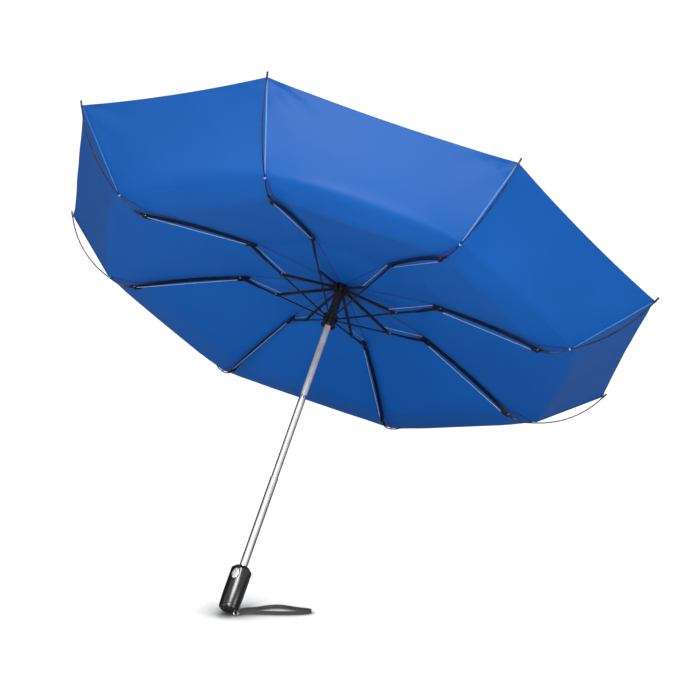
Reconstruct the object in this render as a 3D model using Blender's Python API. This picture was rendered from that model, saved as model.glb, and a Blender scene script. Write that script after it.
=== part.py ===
# Three-fold umbrella with eight ribs, its canopy blown inside out.
# Everything is built upright, the shaft along +Z from the end of the handle, and two empties then lean it
# over on the lowest edge of its handle, as it lies on the floor.
import math

import bmesh
import bpy
from mathutils import Matrix, Vector

MM = 0.001

# How the umbrella leans on the floor, in degrees
LEAN = 39.2
HEADING = 61.8
SPIN = -67.4

# Clearances
GAP = 0.3 * MM
PIVOT_GAP = 0.3 * MM
CLOTH_REST_GAP = 0.6 * MM
OVERRUN = 2.0 * MM

# Ribs and their linkage
RIB_COUNT = 8
RIB_PHASE = 30.0
HUB_PIVOT_RADIUS = 10.2 * MM
TOP_RIB_LENGTH = 100.0 * MM
OPEN_DROOP = 15.8
STRETCHER_OUTER_LENGTH = 73.5 * MM
MIDDLE_RIB_LENGTH = 184.5 * MM
MIDDLE_RIB_DROOP = 14.5
MIDDLE_RIB_ARCH = 3.8 * MM
TAIL_LENGTH = 14.0 * MM

# Channel section of the top and middle ribs
CHANNEL_WIDTH = 3.2 * MM
CHANNEL_WALL = 0.5 * MM
CHANNEL_WEB_SIDE = 2.6 * MM
CHANNEL_OPEN_SIDE = 1.6 * MM
WEB_CUT = 8.0 * MM

# Flat bars and rivets
BLADE_EYE_RADIUS = 1.7 * MM
STRETCHER_INNER_HEIGHT = 2.2 * MM
STRETCHER_OUTER_HEIGHT = 3.4 * MM
PIN_RADIUS = 0.6 * MM
RIVET_HEAD_RADIUS = 1.5 * MM
RIVET_HEAD_HEIGHT = 0.5 * MM

# Channel piece round the stretcher, tapered to clear the ribs that fold against it. Each place on it is a
# distance in from the middle rib's rivet, with the depth of the piece below and above the bar's line there.
SLEEVE_WIDTH = 3.0 * MM
SLEEVE_TIP, SLEEVE_TIP_LOW, SLEEVE_TIP_HIGH = 10.0 * MM, 0.1 * MM, 2.3 * MM
SLEEVE_WAIST, SLEEVE_WAIST_LOW, SLEEVE_WAIST_HIGH = 20.0 * MM, 1.9 * MM, 3.0 * MM
SLEEVE_ROOT, SLEEVE_ROOT_LOW, SLEEVE_ROOT_HIGH = 42.0 * MM, 2.4 * MM, 1.0 * MM

# Cheeks that stiffen a middle rib at its two rivets
CHEEK_WALL = 0.5 * MM
CHEEK_RISE = 1.8 * MM
INNER_CHEEK_REACH = 4.0 * MM
INNER_CHEEK_DEPTH = 4.6 * MM
OUTER_CHEEK_REACH = 10.0 * MM
OUTER_CHEEK_DEPTH = 4.2 * MM

# Control wire along the side of a middle rib
CONTROL_WIRE_RADIUS = 0.5 * MM
CONTROL_WIRE_INSET = 5.0 * MM
CONTROL_WIRE_START_DROP = 4.0 * MM
CONTROL_WIRE_END_DROP = 3.0 * MM

# Outer ribs: a wire that bows on the handle's side of the cloth
WIRE_RADIUS = 1.0 * MM
SOCKET_RADIUS = 2.1 * MM
SOCKET_START = 8.5 * MM
SOCKET_LENGTH = 10.0 * MM
JOINT_EYE_RADIUS = 2.3 * MM
TIE_REACH = 54.0 * MM
TIE_RISE = 11.3
SKIRT_LENGTH = 152.0 * MM
SKIRT_RISE = 44.3
BOW_SHARE = 0.0855
TIP_RADIUS = 1.6 * MM
TIP_CAP_LENGTH = 13.0 * MM
TIP_OVERHANG = 9.0 * MM

# Cloth
CLOTH_THICKNESS = 0.8 * MM
HEM_SAG = 5.0 * MM
CANOPY_CROWN_SHARE = 0.41
CANOPY_CROWN_DROP = 1.2 * MM
CANOPY_SHOULDER_MARGIN = 11.0 * MM
CANOPY_SHOULDER_DROP = 5.6 * MM

# Shaft: three telescoping tubes
CROWN_HEIGHT = 582.0 * MM
UPPER_TUBE_RADIUS = 5.1 * MM
MIDDLE_TUBE_RADIUS = 5.75 * MM
LOWER_TUBE_RADIUS = 6.4 * MM
TUBE_WALL = 0.4 * MM
TUBE_LIP = 0.2 * MM
TUBE_LIP_LENGTH = 2.0 * MM
UPPER_TUBE_SHARE = 0.3445
MIDDLE_TUBE_SHARE = 0.2569
TUBE_OVERLAP = 18.0 * MM
LOWER_TUBE_FOOT = 20.0 * MM

# Crown and cap
CROWN_RADIUS = 12.8 * MM
CROWN_CORE_RADIUS = 7.2 * MM
CROWN_BELOW = 5.0 * MM
CROWN_SLOT_TOP = 3.0 * MM
CROWN_TOP = 6.3 * MM
CROWN_TOP_RADIUS = 11.4 * MM
CROWN_RUNNER_GAP = 1.0 * MM
CAP_RADIUS = 11.6 * MM
CAP_RIM_HEIGHT = 1.4 * MM
CAP_HEIGHT = 6.4 * MM
CAP_STUB_LENGTH = 11.0 * MM

# Runner
RUNNER_BORE_RADIUS = 6.8 * MM
RUNNER_CORE_RADIUS = 7.5 * MM
RUNNER_HEAD_RADIUS = 12.2 * MM
RUNNER_HEAD_ABOVE = 4.6 * MM
RUNNER_HEAD_BELOW = 3.4 * MM
RUNNER_FIN_RADIUS = 9.6 * MM
RUNNER_FLANGE_RADIUS = 12.0 * MM
RUNNER_FLANGE_TOP = 12.4 * MM
RUNNER_FOOT = 16.0 * MM
RUNNER_SLEEVE_TOP = 20.0 * MM
RUNNER_SLOT_WIDTH = 2.4 * MM

# Handle, its end cap, its button and its strap
HANDLE_LENGTH = 74.0 * MM
HANDLE_RADIUS = 15.5 * MM
HANDLE_FOOT_RADIUS = 14.6 * MM
HANDLE_NECK_RADIUS = 8.6 * MM
HANDLE_SHOULDER_DROP = 5.0 * MM
HANDLE_EDGE = 1.6 * MM
HANDLE_SQUARENESS = 2.7
HANDLE_BORE_FOOT = 18.0 * MM
END_CAP_HEIGHT = 6.0 * MM
END_CAP_LIP = 0.6 * MM
END_CAP_ROUND = 3.2 * MM
END_CAP_RIM = 1.0 * MM
HANDLE_TURN = 246.0
BUTTON_DROP = 17.0 * MM
BUTTON_WIDTH = 12.0 * MM
BUTTON_LENGTH = 18.0 * MM
BUTTON_CROWN = 1.6 * MM
BUTTON_RECESS_DEPTH = 3.4 * MM
BUTTON_RECESS_MARGIN = 2.2 * MM
BUTTON_CLEARANCE = 0.4 * MM
BUTTON_SINK = 0.6 * MM
BUTTON_FLOOR_GAP = 2.4 * MM
EYE_RADIUS = 3.4 * MM
EYE_WIRE_RADIUS = 0.7 * MM
EYE_OFFSET = 13.6 * MM
EYE_DROP = 1.2 * MM
STRAP_WIDTH = 5.8 * MM
STRAP_THICKNESS = 1.2 * MM
STRAP_STEPS = 68
FLOOR_DEPTH = 8.4 * MM

# The strap's route over the floor, in world millimetres from the middle of the handle's end: right, away, and
# the height of the webbing's middle over the floor
STRAP_ROUTE = [
    (17.25, -3.2, 5.6), (23.0, -1.5, 5.6), (30.0, 1.5, 4.8), (40.0, 3.5, 3.7), (52.0, 3.6, 3.0),
    (66.0, 2.6, 3.0), (80.0, 1.6, 3.0), (94.0, 1.6, 3.0), (107.0, 2.6, 3.0), (118.0, 4.8, 3.0),
    (125.5, 8.2, 3.0), (128.8, 13.0, 3.0), (126.0, 17.6, 3.0), (117.5, 21.6, 3.0), (106.0, 26.6, 3.0),
    (94.0, 33.6, 3.0), (82.0, 39.4, 3.0), (71.0, 40.2, 3.0), (61.0, 36.8, 3.0), (53.0, 32.6, 3.0),
    (45.5, 27.4, 3.2), (37.0, 19.4, 4.6), (29.5, 11.0, 6.4), (23.4, 4.0, 7.4), (18.2, -0.9, 7.2),
]

# Facets
ROUND_SIDES = 28
HUB_SIDES = 32
PIN_SIDES = 6
HEAD_SIDES = 8
WIRE_SIDES = 8
SOCKET_SIDES = 12
OVAL_SIDES = 16
HANDLE_SIDES = 28
END_ROUND_STEPS = 4
MIDDLE_RIB_STEPS = 5
WIRE_ROOT_STEPS = 5
BOW_STEPS = 10
CANOPY_RIB_STEPS = 5
CANOPY_GORE_STEPS = 2
PANEL_STEPS = 6
PANEL_RISE_STEPS = 2
DOME_STEPS = 5
EYE_STEPS = 14
END_CAP_STEPS = 3

# The button's dome, as shares of its outline and of its height
DOME_SHARES = ((0.86, 0.55), (0.5, 0.9))

UP = Vector((0, 0, 1))
RIGHT_ANGLE = 90.0


# Small geometry helpers

def along(start, length, rise):
    """The point a length away from start, in a rib's plane, at an angle above the level in degrees."""
    angle = math.radians(rise)
    return (start[0] + length * math.cos(angle), start[1] + length * math.sin(angle))


def smooth_curve(points, count):
    """Points spaced along a Catmull-Rom curve through the given ones."""
    ends = [2 * points[0] - points[1]] + points + [2 * points[-1] - points[-2]]
    spans = len(points) - 1
    curve = []
    for step in range(count + 1):
        place = spans * step / count
        span = min(int(place), spans - 1)
        t = place - span
        a, b, c, d = ends[span:span + 4]
        bend = (2 * a - 5 * b + 4 * c - d) * t ** 2 + (3 * b - a - 3 * c + d) * t ** 3
        curve.append(b + ((c - a) * t + bend) / 2)
    return curve


# Places in a rib's plane, as distance from the shaft's axis and height

CROWN_PIVOT = (HUB_PIVOT_RADIUS, CROWN_HEIGHT)
STRETCHER_PIVOT = along(CROWN_PIVOT, TOP_RIB_LENGTH, -OPEN_DROOP)
RUNNER_HEIGHT = CROWN_HEIGHT - 2 * TOP_RIB_LENGTH * math.sin(math.radians(OPEN_DROOP))
MIDDLE_PIVOT = along(STRETCHER_PIVOT, STRETCHER_OUTER_LENGTH, OPEN_DROOP)
END_PIVOT = along(MIDDLE_PIVOT, MIDDLE_RIB_LENGTH, -MIDDLE_RIB_DROOP)
TIE = along(END_PIVOT, TIE_REACH, TIE_RISE)
CORNER = along(TIE, SKIRT_LENGTH, SKIRT_RISE)
CLOTH_LIFT = WIRE_RADIUS + GAP + CLOTH_THICKNESS / 2
CLOTH_TIE = along(TIE, CLOTH_LIFT, SKIRT_RISE + RIGHT_ANGLE)
CLOTH_CORNER = along(CORNER, CLOTH_LIFT, SKIRT_RISE + RIGHT_ANGLE)
FLIP_AXIS = (TIE[0], TIE[1] - WIRE_RADIUS)


# Materials

def material(name, colour, metallic, roughness):
    made = bpy.data.materials.new(name)
    made.use_nodes = True
    shader = made.node_tree.nodes["Principled BSDF"]
    shader.inputs["Base Color"].default_value = (*colour, 1)
    shader.inputs["Metallic"].default_value = metallic
    shader.inputs["Roughness"].default_value = roughness
    made.diffuse_color = (*colour, 1)
    return made


def rib_steel(name):
    return material(name, (0.012, 0.012, 0.014), 0.4, 0.35)


def wire_steel(name):
    return material(name, (0.06, 0.06, 0.065), 0.8, 0.35)


def chrome(name):
    return material(name, (0.75, 0.75, 0.76), 1, 0.12)


def cloth(name):
    return material(name, (0.008, 0.1, 0.42), 0, 0.7)


def black_plastic(name):
    return material(name, (0.01, 0.01, 0.011), 0, 0.25)


def silver_plastic(name):
    return material(name, (0.62, 0.62, 0.63), 0.85, 0.28)


def webbing(name):
    return material(name, (0.02, 0.02, 0.022), 0, 0.8)


# Meshes

def closed(work, name):
    """A mesh from a bmesh, with its doubles merged and its faces turned out."""
    bmesh.ops.remove_doubles(work, verts=work.verts, dist=MM * MM)
    bmesh.ops.recalc_face_normals(work, faces=work.faces)
    mesh = bpy.data.meshes.new(name)
    work.to_mesh(mesh)
    work.free()
    return mesh


def turned(profile, sides, name="turned"):
    """A profile of (radius, height) points turned about Z, closed unless both its ends lie on the axis."""
    work = bmesh.new()
    verts = [work.verts.new((r, 0, z)) for r, z in profile]
    edges = [work.edges.new(pair) for pair in zip(verts, verts[1:])]
    if profile[0][0] > 0:
        edges.append(work.edges.new((verts[-1], verts[0])))
    turn = {"axis": UP, "cent": (0, 0, 0), "angle": 2 * math.pi, "steps": sides}
    bmesh.ops.spin(work, geom=verts + edges, use_merge=True, **turn)
    return closed(work, name)


def plate(outline, low, high, name="plate"):
    """An outline of (x, z) points extruded along Y from low to high."""
    work = bmesh.new()
    face = work.faces.new([work.verts.new((x, low, z)) for x, z in outline])
    made = bmesh.ops.extrude_face_region(work, geom=[face])
    moved = [item for item in made["geom"] if isinstance(item, bmesh.types.BMVert)]
    bmesh.ops.translate(work, verts=moved, vec=(0, high - low, 0))
    return closed(work, name)


def block(x, y, z, name="block"):
    """A box between the low and high ends given along each axis."""
    return plate([(x[0], z[0]), (x[1], z[0]), (x[1], z[1]), (x[0], z[1])], y[0], y[1], name)


def cross_pin(centre, radius, low, high, sides=PIN_SIDES):
    """A cylinder along Y about a centre in the XZ plane."""
    outline = []
    for side in range(sides):
        angle = 2 * math.pi * (side + 0.5) / sides
        outline.append((centre[0] + radius * math.cos(angle), centre[1] + radius * math.sin(angle)))
    return plate(outline, low, high)


def rod(points, radii, sides=WIRE_SIDES, cyclic=False):
    """A round rod through the points, with a radius at each, made as a bevelled curve."""
    curve = bpy.data.curves.new("rod", "CURVE")
    curve.dimensions = "3D"
    curve.bevel_depth = 1
    curve.bevel_resolution = sides // 4 - 1
    curve.use_fill_caps = True
    spline = curve.splines.new("POLY")
    spline.points.add(len(points) - 1)
    spline.use_cyclic_u = cyclic
    for point, place, radius in zip(spline.points, points, radii):
        point.co = (*place, 1)
        point.radius = radius
    holder = bpy.data.objects.new("rod", curve)
    mesh = evaluated(holder)
    bpy.data.curves.remove(curve)
    work = bmesh.new()
    work.from_mesh(mesh)
    return closed(work, "rod")


def evaluated(holder):
    """The mesh that an object comes to with its modifiers, after which the object is removed."""
    bpy.context.scene.collection.objects.link(holder)
    graph = bpy.context.evaluated_depsgraph_get()
    mesh = bpy.data.meshes.new_from_object(holder.evaluated_get(graph))
    bpy.data.objects.remove(holder)
    return mesh


def carved(mesh, joined=(), cuts=()):
    """A mesh with other meshes joined to it and then cut out of it."""
    holder = bpy.data.objects.new("carved", mesh)
    tools = []
    for operation, group in (("UNION", joined), ("DIFFERENCE", cuts)):
        for other in group:
            tool = bpy.data.objects.new("tool", other)
            bpy.context.scene.collection.objects.link(tool)
            tool.hide_render = True
            tool.display_type = "WIRE"
            tools.append(tool)
            step = holder.modifiers.new(operation, "BOOLEAN")
            step.operation = operation
            step.solver = "EXACT"
            step.object = tool
    made = evaluated(holder)
    for tool in tools:
        bpy.data.objects.remove(tool)
    work = bmesh.new()
    work.from_mesh(made)
    return closed(work, "carved")


def repeated(mesh, count, offset=0.0):
    """One mesh that holds a copy of another at each of count equal turns about Z."""
    work = bmesh.new()
    for turn in range(count):
        copy = mesh.copy()
        copy.transform(Matrix.Rotation(2 * math.pi * (turn + offset) / count, 4, "Z"))
        work.from_mesh(copy)
    return closed(work, "repeated")


def add(name, mesh, finish, parent, location=(0, 0, 0), rotation=(0, 0, 0), smooth=40.0):
    """A named object with a material of its own, placed under its parent."""
    mesh = mesh.copy()
    mesh.name = name
    mesh.materials.clear()
    mesh.materials.append(finish(name))
    mesh.shade_smooth()
    mesh.set_sharp_from_angle(angle=math.radians(smooth))
    made = bpy.data.objects.new(name, mesh)
    made.location = location
    made.rotation_euler = rotation
    made.parent = parent
    bpy.context.scene.collection.objects.link(made)
    return made


def empty(name, parent=None, rotation=(0, 0, 0)):
    made = bpy.data.objects.new(name, None)
    made.rotation_euler = rotation
    made.parent = parent
    bpy.context.scene.collection.objects.link(made)
    return made


# Rib members, each in a frame whose origin is its inner pivot, with +X outwards along it

def bar_outline(start, end, low, high, centre=lambda x: 0.0, steps=1):
    """The side view of a bar with round ends past its two pivots, low below and high above its line."""
    middle = (high - low) / 2
    radius = (high + low) / 2
    outline = []
    for step in range(steps + 1):
        x = start + (end - start) * step / steps
        outline.append((x, centre(x) - low))
    for step in range(1, END_ROUND_STEPS):
        angle = math.pi * step / END_ROUND_STEPS - math.pi / 2
        outline.append((end + radius * math.cos(angle), centre(end) + middle + radius * math.sin(angle)))
    for step in range(steps + 1):
        x = end + (start - end) * step / steps
        outline.append((x, centre(x) + high))
    for step in range(1, END_ROUND_STEPS):
        angle = math.pi * step / END_ROUND_STEPS + math.pi / 2
        outline.append((start + radius * math.cos(angle), centre(start) + middle + radius * math.sin(angle)))
    return outline


def rivet(centre, half):
    """A pin at a pivot, with a head on each side of a piece that is half as wide as given either way."""
    return [
        cross_pin(centre, PIN_RADIUS, -half, half),
        cross_pin(centre, RIVET_HEAD_RADIUS, half - CHANNEL_WALL / 2, half + RIVET_HEAD_HEIGHT, HEAD_SIDES),
        cross_pin(centre, RIVET_HEAD_RADIUS, -half - RIVET_HEAD_HEIGHT, CHANNEL_WALL / 2 - half, HEAD_SIDES),
    ]


def top_rib_mesh():
    """A channel open towards the cloth: holes for the crown's ring wire, then a fork with a rivet."""
    half = CHANNEL_WIDTH / 2
    inside = half - CHANNEL_WALL
    length = TOP_RIB_LENGTH
    body = plate(bar_outline(0, length, CHANNEL_WEB_SIDE, CHANNEL_OPEN_SIDE), -half, half)
    floor = CHANNEL_WALL - CHANNEL_WEB_SIDE
    reach = OVERRUN + CHANNEL_WEB_SIDE
    trough = block((-reach, length + reach), (-inside, inside), (floor, reach))
    fork = block((length - WEB_CUT, length + reach), (-inside, inside), (-reach, reach))
    hole = cross_pin((0, 0), PIN_RADIUS + PIVOT_GAP, -half - OVERRUN, half + OVERRUN)
    channel = carved(body, cuts=[trough, fork, hole])
    return carved(channel, joined=rivet((length, 0), half))


def stretcher_mesh():
    """A flat bar: thin from the runner to the top rib's rivet, then deeper, with a sleeve near its end."""
    half = CHANNEL_WIDTH / 2 - CHANNEL_WALL - PIVOT_GAP
    length = TOP_RIB_LENGTH + STRETCHER_OUTER_LENGTH
    thin = STRETCHER_INNER_HEIGHT / 2
    deep = STRETCHER_OUTER_HEIGHT / 2
    slim_bar = plate(bar_outline(0, TOP_RIB_LENGTH, thin, thin), -half, half)
    deep_bar = plate(bar_outline(TOP_RIB_LENGTH, length, deep, deep), -half, half)
    sleeve_outline = [
        (length - SLEEVE_ROOT, -SLEEVE_ROOT_LOW), (length - SLEEVE_WAIST, -SLEEVE_WAIST_LOW),
        (length - SLEEVE_TIP, -SLEEVE_TIP_LOW), (length - SLEEVE_TIP, SLEEVE_TIP_HIGH),
        (length - SLEEVE_WAIST, SLEEVE_WAIST_HIGH), (length - SLEEVE_ROOT, SLEEVE_ROOT_HIGH),
    ]
    sleeve = plate(sleeve_outline, -SLEEVE_WIDTH / 2, SLEEVE_WIDTH / 2)
    inner_eye = cross_pin((0, 0), BLADE_EYE_RADIUS, -half, half)
    holes = [
        cross_pin((x, 0), PIN_RADIUS + PIVOT_GAP, -half - OVERRUN, half + OVERRUN)
        for x in (0, TOP_RIB_LENGTH, length)
    ]
    return carved(slim_bar, joined=[deep_bar, sleeve, inner_eye], cuts=holes)


def middle_rib_line(x):
    """Height of the middle rib's line over the chord between its pivots: an arch, and a straight tail."""
    slope = 4 * MIDDLE_RIB_ARCH / MIDDLE_RIB_LENGTH
    return slope * x if x < 0 else slope * x * (1 - x / MIDDLE_RIB_LENGTH)


def cheeks(start, end, depth):
    """A pair of plates on a middle rib's walls, round a pivot, that reach out of the channel's open side."""
    inside = CHANNEL_WIDTH / 2 - CHANNEL_WALL
    outside = CHANNEL_WIDTH / 2 + CHEEK_WALL
    outline = bar_outline(start, end, depth, CHEEK_RISE)
    return [plate(outline, inside, outside), plate(outline, -outside, -inside)]


def middle_rib_mesh():
    """An arched channel open towards the handle, with a tail, cheeks, rivets and the control wire."""
    half = CHANNEL_WIDTH / 2
    inside = half - CHANNEL_WALL
    outside = half + CHEEK_WALL
    length = MIDDLE_RIB_LENGTH
    reach = OVERRUN + CHANNEL_WEB_SIDE
    roof = CHANNEL_WEB_SIDE - CHANNEL_WALL
    line = {"centre": middle_rib_line, "steps": MIDDLE_RIB_STEPS}
    body = plate(bar_outline(-TAIL_LENGTH, length, CHANNEL_OPEN_SIDE, CHANNEL_WEB_SIDE, **line), -half, half)
    trough = plate(bar_outline(-TAIL_LENGTH - reach, length + reach, reach, roof, **line), -inside, inside)
    fork = block((length - WEB_CUT, length + reach), (-inside, inside), (-reach, reach))
    channel = carved(body, cuts=[trough, fork])
    inner = cheeks(-INNER_CHEEK_REACH, INNER_CHEEK_REACH, INNER_CHEEK_DEPTH)
    outer = cheeks(length - OUTER_CHEEK_REACH, length, OUTER_CHEEK_DEPTH)
    rivets = rivet((0, 0), outside) + rivet((length, 0), outside)
    return carved(channel, joined=inner + outer + rivets + [control_wire()])


def control_wire():
    """The straight wire that works the end joint, from the inner cheek to the outer, under the rib's arch."""
    side = CHANNEL_WIDTH / 2 + CHEEK_WALL + CONTROL_WIRE_RADIUS / 2
    start = (CONTROL_WIRE_INSET, side, -CONTROL_WIRE_START_DROP)
    end = (MIDDLE_RIB_LENGTH - CONTROL_WIRE_INSET, side, -CONTROL_WIRE_END_DROP)
    return rod([start, end], [CONTROL_WIRE_RADIUS] * 2)


# The joint at a middle rib's end, and the outer rib's wire

def bow_angle():
    """Half the angle that the outer rib's wire turns through on its bow, in degrees."""
    return math.degrees(2 * math.atan(2 * BOW_SHARE))


def wire_root_points():
    """The wire from its socket to the tie, bending up on a cubic whose ends follow the rib and the bow."""
    start = along((0, 0), SOCKET_START, TIE_RISE - bow_angle())
    end = along((0, 0), TIE_REACH, TIE_RISE)
    pull = TIE_REACH / 3
    lead = along(start, pull, TIE_RISE - bow_angle())
    tail = along(end, -pull, SKIRT_RISE - bow_angle())
    points = []
    for step in range(WIRE_ROOT_STEPS + 1):
        t = step / WIRE_ROOT_STEPS
        weights = ((1 - t) ** 3, 3 * t * (1 - t) ** 2, 3 * t ** 2 * (1 - t), t ** 3)
        x, z = (sum(w * p[axis] for w, p in zip(weights, (start, lead, tail, end))) for axis in (0, 1))
        points.append((x, 0, z))
    return points


def shortened(points, cut):
    """The points with the last one drawn back by a length."""
    last = Vector(points[-1])
    before = Vector(points[-2])
    back = (before - last).normalized() * cut
    return points[:-1] + [tuple(last + back)]


def end_joint_mesh():
    """A blade on the middle rib's end rivet, a riveted socket past the cheeks, and the root of the wire."""
    half = CHANNEL_WIDTH / 2 - CHANNEL_WALL - PIVOT_GAP
    points = shortened(wire_root_points(), GAP / 2)
    direction = (Vector(points[1]) - Vector(points[0])).normalized()
    rise = math.degrees(math.atan2(direction.z, direction.x))
    blade = plate(bar_outline(0, SOCKET_START, JOINT_EYE_RADIUS, JOINT_EYE_RADIUS), -half, half)
    blade.transform(Matrix.Rotation(-math.radians(rise), 4, "Y"))
    mouth = Vector(points[0])
    socket_ends = [tuple(mouth), tuple(mouth + direction * SOCKET_LENGTH)]
    socket = rod(socket_ends, [SOCKET_RADIUS] * 2, SOCKET_SIDES)
    wire = rod(points, [WIRE_RADIUS] * len(points))
    hole = cross_pin((0, 0), PIN_RADIUS + PIVOT_GAP, -half - OVERRUN, half + OVERRUN)
    return carved(blade, joined=[socket, wire] + rivet((mouth.x, mouth.z), half), cuts=[hole])


def bow_points():
    """The outer rib's wire on its bow, from the tie to the canopy's corner, about the tie."""
    radius = SKIRT_LENGTH / (2 * math.sin(math.radians(bow_angle())))
    points = []
    place = (0.0, 0.0)
    step_angle = 2 * bow_angle() / BOW_STEPS
    step_length = 2 * radius * math.sin(math.radians(step_angle / 2))
    for step in range(BOW_STEPS + 1):
        points.append((place[0], 0, place[1]))
        place = along(place, step_length, SKIRT_RISE - bow_angle() + step_angle * (step + 0.5))
    return points


def outer_rib_mesh():
    """The bowed wire, and the cap on its tip, about the axis that it flips on."""
    points = [Vector(point) + WIRE_RADIUS * UP for point in bow_points()]
    start = (points[1] - points[0]).normalized()
    points[0] = points[0] + start * GAP / 2
    last = (points[-1] - points[-2]).normalized()
    cap_start = points[-1] + last * (TIP_OVERHANG - TIP_CAP_LENGTH)
    lip = TIP_RADIUS - WIRE_RADIUS
    cap = [cap_start, cap_start + last * lip, points[-1] + last * (TIP_OVERHANG - TIP_RADIUS)]
    nose = points[-1] + last * TIP_OVERHANG
    route = points[:-1] + cap + [nose]
    radii = [WIRE_RADIUS] * len(points[:-1]) + [WIRE_RADIUS, TIP_RADIUS, TIP_RADIUS, WIRE_RADIUS]
    return rod([tuple(point) for point in route], radii)


# Cloth

def over_middle_rib(x):
    """The cloth's place over a middle rib, at a distance out from the rib's inner pivot."""
    lift = CHANNEL_WEB_SIDE + CLOTH_REST_GAP + CLOTH_THICKNESS / 2
    on_chord = along(MIDDLE_PIVOT, x, -MIDDLE_RIB_DROOP)
    return along(on_chord, middle_rib_line(x) + lift, RIGHT_ANGLE - MIDDLE_RIB_DROOP)


def canopy_rib_line():
    """The cloth's line over a rib, from the hole at the crown to just short of the tie."""
    top = CROWN_HEIGHT + CROWN_TOP + GAP + CLOTH_THICKNESS / 2
    tail_end = -TAIL_LENGTH - CHANNEL_WEB_SIDE
    shoulder = over_middle_rib(tail_end)[0] - CANOPY_SHOULDER_MARGIN
    line = [
        (UPPER_TUBE_RADIUS + GAP, top),
        (CROWN_TOP_RADIUS, top),
        (CANOPY_CROWN_SHARE * shoulder, top - CANOPY_CROWN_DROP),
        (shoulder, top - CANOPY_SHOULDER_DROP),
    ]
    for step in range(CANOPY_RIB_STEPS + 1):
        line.append(over_middle_rib(tail_end + (MIDDLE_RIB_LENGTH - tail_end) * step / CANOPY_RIB_STEPS))
    end_angle = math.degrees(math.atan2(CLOTH_TIE[1] - line[-1][1], CLOTH_TIE[0] - line[-1][0]))
    line.append(along(CLOTH_TIE, -GAP, end_angle))
    return line


def thickened(work, name):
    """A sheet of cloth from an open surface, made solid about its middle."""
    mesh = closed(work, name)
    holder = bpy.data.objects.new(name, mesh)
    solid = holder.modifiers.new("thickness", "SOLIDIFY")
    solid.thickness = CLOTH_THICKNESS
    solid.offset = 0
    solid.use_even_offset = True
    solid.use_rim = True
    return evaluated(holder)


def canopy_centre_mesh():
    """The middle of the canopy out to its crease, straight from rib to rib, holed for the shaft's top."""
    line = canopy_rib_line()
    work = bmesh.new()
    rings = []
    for radius, height in line:
        ring = []
        corners = [
            Vector((radius * math.cos(angle), radius * math.sin(angle), height))
            for angle in (2 * math.pi * rib / RIB_COUNT for rib in range(RIB_COUNT))
        ]
        for here, there in zip(corners, corners[1:] + corners[:1]):
            for step in range(CANOPY_GORE_STEPS):
                point = here.lerp(there, step / CANOPY_GORE_STEPS)
                if radius <= CROWN_TOP_RADIUS:
                    point = Vector((point.x, point.y, 0)).normalized() * radius + height * UP
                ring.append(work.verts.new(point))
        rings.append(ring)
    for inner, outer in zip(rings, rings[1:]):
        for index in range(len(inner)):
            after = (index + 1) % len(inner)
            work.faces.new((inner[index], outer[index], outer[after], inner[after]))
    return thickened(work, "canopy_centre")


def skirt_panel_mesh():
    """One panel of the turned-up skirt, about the middle of its crease: +X outwards, Y along the crease."""
    half = math.pi / RIB_COUNT
    crease_x = CLOTH_TIE[0] * math.cos(half)
    crease_y = CLOTH_TIE[0] * math.sin(half)
    rim_x = CLOTH_CORNER[0] * math.cos(half) - crease_x
    rim_y = CLOTH_CORNER[0] * math.sin(half)
    rise = CLOTH_CORNER[1] - CLOTH_TIE[1]
    slope = Vector((rim_x, 0, rise)).normalized()
    work = bmesh.new()
    rows = []
    for row in range(PANEL_RISE_STEPS + 1):
        out = row / PANEL_RISE_STEPS
        half_width = crease_y + (rim_y - crease_y) * out - 2 * GAP
        verts = []
        for step in range(PANEL_STEPS + 1):
            side = 2 * step / PANEL_STEPS - 1
            sag = HEM_SAG * out * (1 - side ** 2)
            edge = GAP * (1 - out)
            place = slope * (edge - sag) + Vector((rim_x * out, half_width * side, rise * out))
            verts.append(work.verts.new(place))
        rows.append(verts)
    for lower, upper in zip(rows, rows[1:]):
        for step in range(PANEL_STEPS):
            work.faces.new((lower[step], lower[step + 1], upper[step + 1], upper[step]))
    return thickened(work, "skirt_panel")


# Shaft, crown and runner

def tube_mesh(radius, low, high):
    """An open tube with a rolled lip round the mouth at its top."""
    bore = radius - TUBE_WALL
    lip = radius + TUBE_LIP
    neck = high - TUBE_LIP_LENGTH
    profile = [(bore, low), (bore, high), (radius, high), (lip, high - TUBE_LIP), (lip, neck)]
    return turned(profile + [(radius, neck - TUBE_LIP), (radius, low)], ROUND_SIDES)


def plain_tube_mesh(radius, low, high):
    bore = radius - TUBE_WALL
    return turned([(bore, low), (bore, high), (radius, high), (radius, low)], ROUND_SIDES)


def slots(inner, outer, width, low, high):
    """A cutter with one radial slot for each rib."""
    half = width / 2
    return repeated(block((inner, outer), (-half, half), (low, high)), RIB_COUNT)


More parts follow.
